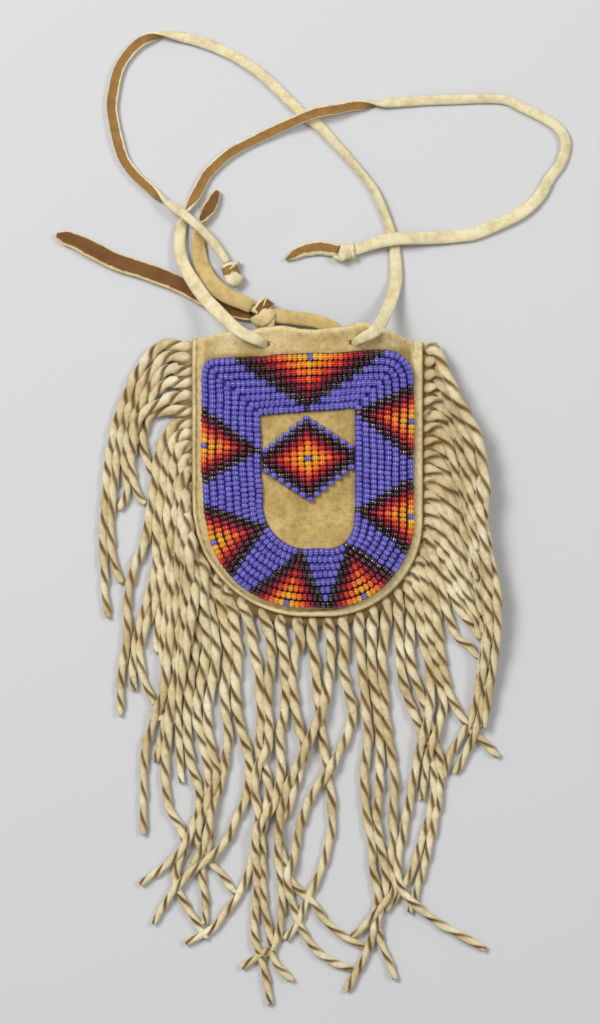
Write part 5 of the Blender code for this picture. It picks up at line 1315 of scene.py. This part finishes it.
def make_thongs(pale, smoked, folded, handled):
    right, right_route = lay_lace(
        "front_thong_right_loop", RIGHT_LOOP,
        [(0, 2.6), (0.04, 3.6), (0.1, 4.2), (0.2, 3.6), (0.3, 3.1), (0.42, 3.2), (0.5, 3.0), (0.62, 2.9),
         (0.72, 3.3), (0.82, 3.9), (0.95, 3.9), (1, 3.4)],
        [(0, 0), (0.19, 0), (0.25, 180), (0.45, 180), (0.5, 350), (0.53, 375), (0.6, 385), (0.66, 360),
         (0.72, 340), (0.8, 375), (0.9, 360), (1, 360)],
        1.5 * MM, pale, ["front_thong"], cup=0.14,
    )
    left, left_route = lay_lace(
        "front_thong_left_loop", LEFT_LOOP,
        [(0, 2.6), (0.1, 2.6), (0.16, 3.9), (0.22, 4.0), (0.3, 3.0), (0.38, 2.8), (0.45, 3.3), (0.6, 3.3),
         (0.68, 3.1), (0.78, 3.4), (0.88, 3.0), (0.97, 2.7), (1, 2.4)],
        [(0, 0), (0.25, 0), (0.32, -45), (0.36, -50), (0.42, 0), (0.62, 0), (0.68, 180), (0.87, 180),
         (0.92, 350), (1, 360)],
        1.5 * MM, pale, ["front_thong"], cup=0.14,
    )
    loop, loop_route = lay_lace(
        "back_thong_tied_loop", BACK_LOOP,
        [(0, 4.4), (0.3, 4.2), (0.42, 3.2), (0.9, 3.2), (1, 3.6)], [(0, 0), (1, 0)],
        1.5 * MM, smoked, ["back_thong_loop"],
    )
    long_end, long_route = lay_lace(
        "back_thong_long_strap", LONG_END,
        [(0, 4.2), (0.2, 5.2), (0.8, 5.3), (0.95, 4.6), (1, 1.6)], [(0, 180), (1, 180)],
        1.6 * MM, smoked, ["back_thong_long_end"], cup=0.02,
    )
    short_end, short_route = lay_lace(
        "back_thong_short_strap", SHORT_END,
        [(0, 4.2), (0.25, 5.2), (0.6, 4.6), (0.85, 4.4), (0.94, 3.6), (1, 1.4)],
        [(0, 0), (0.6, 0), (0.72, 50), (0.8, 130), (0.88, 170), (1, 170)],
        1.5 * MM, smoked, ["back_thong_short_end"], cup=0.1,
    )
    tail, _ = lay_lace(
        "right_knot_tail_lace", TAIL, [(0, 3.6), (0.4, 4.4), (0.8, 3.6), (1, 0.8)], [(0, 180), (1, 180)],
        1.5 * MM, folded, (), cup=-0.3,
    )
    right_knot = joined("right_loop_knot", [
        wrap((12.0, 69.0, 2.3), (1, 0.15), (2.0, 1.9), 1.2, 1.2, 0.4, 3.6, 1.1),
        wrap((10.4, 68.6, 2.4), (1, -0.5), (2.3, 2.0), 1.6, 1.1, 2.4, 3.0, 1.1),
        wrap((13.6, 69.3, 2.2), (1, 0.2), (2.1, 1.8), 0.6, 1.1, 1.0, 1.2, 1.3),
    ])
    finish(right_knot, pale, ["front_thong_right_knot"])
    left_knot = joined("left_loop_knot", [
        wrap((-23.3, 63.4, 2.3), (0.35, -1), (1.9, 1.7), 1.0, 1.2, 0.5, 3.6, 1.1, math.pi),
        wrap((-22.3, 61.2, 2.4), (-0.75, -1), (2.3, 2.0), 1.2, 1.15, 2.0, 4.4, 1.1),
        wrap((-22.9, 65.2, 2.2), (0.35, -1), (1.9, 1.6), 0.6, 1.1, 1.2, 1.2, 1.1),
    ])
    finish(left_knot, pale, ["front_thong_left_knot"])
    back_knot = joined("back_loop_knot", [
        wrap((-13.5, 52.0, 2.9), (0.75, -0.6), (2.5, 2.1), 1.2, 1.2, 0.3, 3.6, 1.2, math.pi),
        wrap((-13.2, 49.3, 3.1), (0.9, -0.75), (3.1, 2.7), 1.6, 1.15, 1.8, 4.6, 1.3),
        wrap((-11.4, 47.4, 2.7), (1, -0.2), (2.2, 2.1), 1.0, 1.1, 2.6, 2.6, 1.2),
        wrap((-15.4, 50.9, 2.6), (0.5, 1), (1.9, 1.9), 0.8, 1.1, 2.6, 1.8, 1.2),
    ])
    finish(back_knot, handled, ["back_thong_knot"])


def make_room():
    """A plain pale floor, soft light from all round, two lamps, and the camera straight above."""
    deselect()
    bpy.ops.mesh.primitive_plane_add(size=6, location=(0, 0, -0.0002))
    floor = bpy.context.object
    floor.name = "pale_floor"
    bpy.ops.object.transform_apply(location=True, rotation=True, scale=True)
    card, _ = new_material(
        "pale_card", {"Base Color": "#CACACC", "Roughness": 0.95, "Specular IOR Level": 0.1}
    )
    floor.data.materials.append(card)
    world = bpy.data.worlds.new("soft_room")
    bpy.context.scene.world = world
    world.use_nodes = True
    background = world.node_tree.nodes["Background"]
    background.inputs["Color"].default_value = linear("#EEEEEE")
    background.inputs["Strength"].default_value = 0.46
    for name, size, energy, place in (
        ("broad_lamp", 0.5, 13.2, (-0.6, 0.5, 1.1)),
        ("second_lamp", 0.3, 4.2, (0.75, 0.35, 1.0)),
    ):
        light = bpy.data.lights.new(name, "AREA")
        light.size = size
        light.energy = energy
        lamp = bpy.data.objects.new(name, light)
        bpy.context.collection.objects.link(lamp)
        lamp.location = place
        lamp.rotation_euler = (-Vector(place)).to_track_quat("-Z", "Y").to_euler()
    camera = bpy.data.cameras.new("camera")
    camera.sensor_fit = "VERTICAL"
    camera.sensor_height = 36
    camera.lens = camera.sensor_height * VIEW_DISTANCE / VIEW_HEIGHT
    eye = bpy.data.objects.new("camera", camera)
    bpy.context.collection.objects.link(eye)
    eye.location = CAMERA_PLACE
    bpy.context.scene.camera = eye
    bpy.context.scene.view_settings.view_transform = "Standard"


def main():
    noise.seed_set(WANDER_SEED)
    make_room()
    pale = lace_leather("pale_lace_leather", "#E0D4AC", "#96703E", "#E2D8B4")
    smoked = lace_leather("smoked_lace_leather", "#C9AE74", "#74502A", "#D8C592")
    folded = lace_leather("folded_lace_leather", "#E0D4AC", "#8F6A38", "#E6DAB2", 0.12)
    handled = lace_leather("handled_lace_leather", "#D9C590", "#7A552C", "#E2D2A2")
    make_thongs(pale, smoked, folded, handled)
    glass = {
        "blue": glass_bead("periwinkle_glass", "#7F77D4", "#6C64C2"),
        "yellow": glass_bead("yellow_glass", "#FBC233", "#F2B024"),
        "amber": glass_bead("amber_glass", "#FBA32A", "#F5921C"),
        "orange": glass_bead("orange_glass", "#FC7C3A", "#F26A2C"),
        "red": glass_bead("red_glass", "#DC3A22", "#C22C1C"),
        "maroon": glass_bead("maroon_glass", "#98183A", "#7C122E"),
        "dark": glass_bead("garnet_glass", "#4A1820", "#341116", 0.18, 0.0, 0.8),
        "hematite": glass_bead("hematite_glass", "#7A7274", "#3C3639", 0.16, 1.0, 1.0),
    }
    lines = band_beads([SewnRow(r + 0.5) for r in range(ROW_COUNT)]) + diamond_beads()
    sew_beads(lines, glass)
    lay_thread_and_shade(lines, thread_and_shade_material())
    skin = smoked_buckskin()
    make_panels(skin)
    make_fringe(twisted_buckskin(), skin)


main()
bpy.context.view_layer.update()
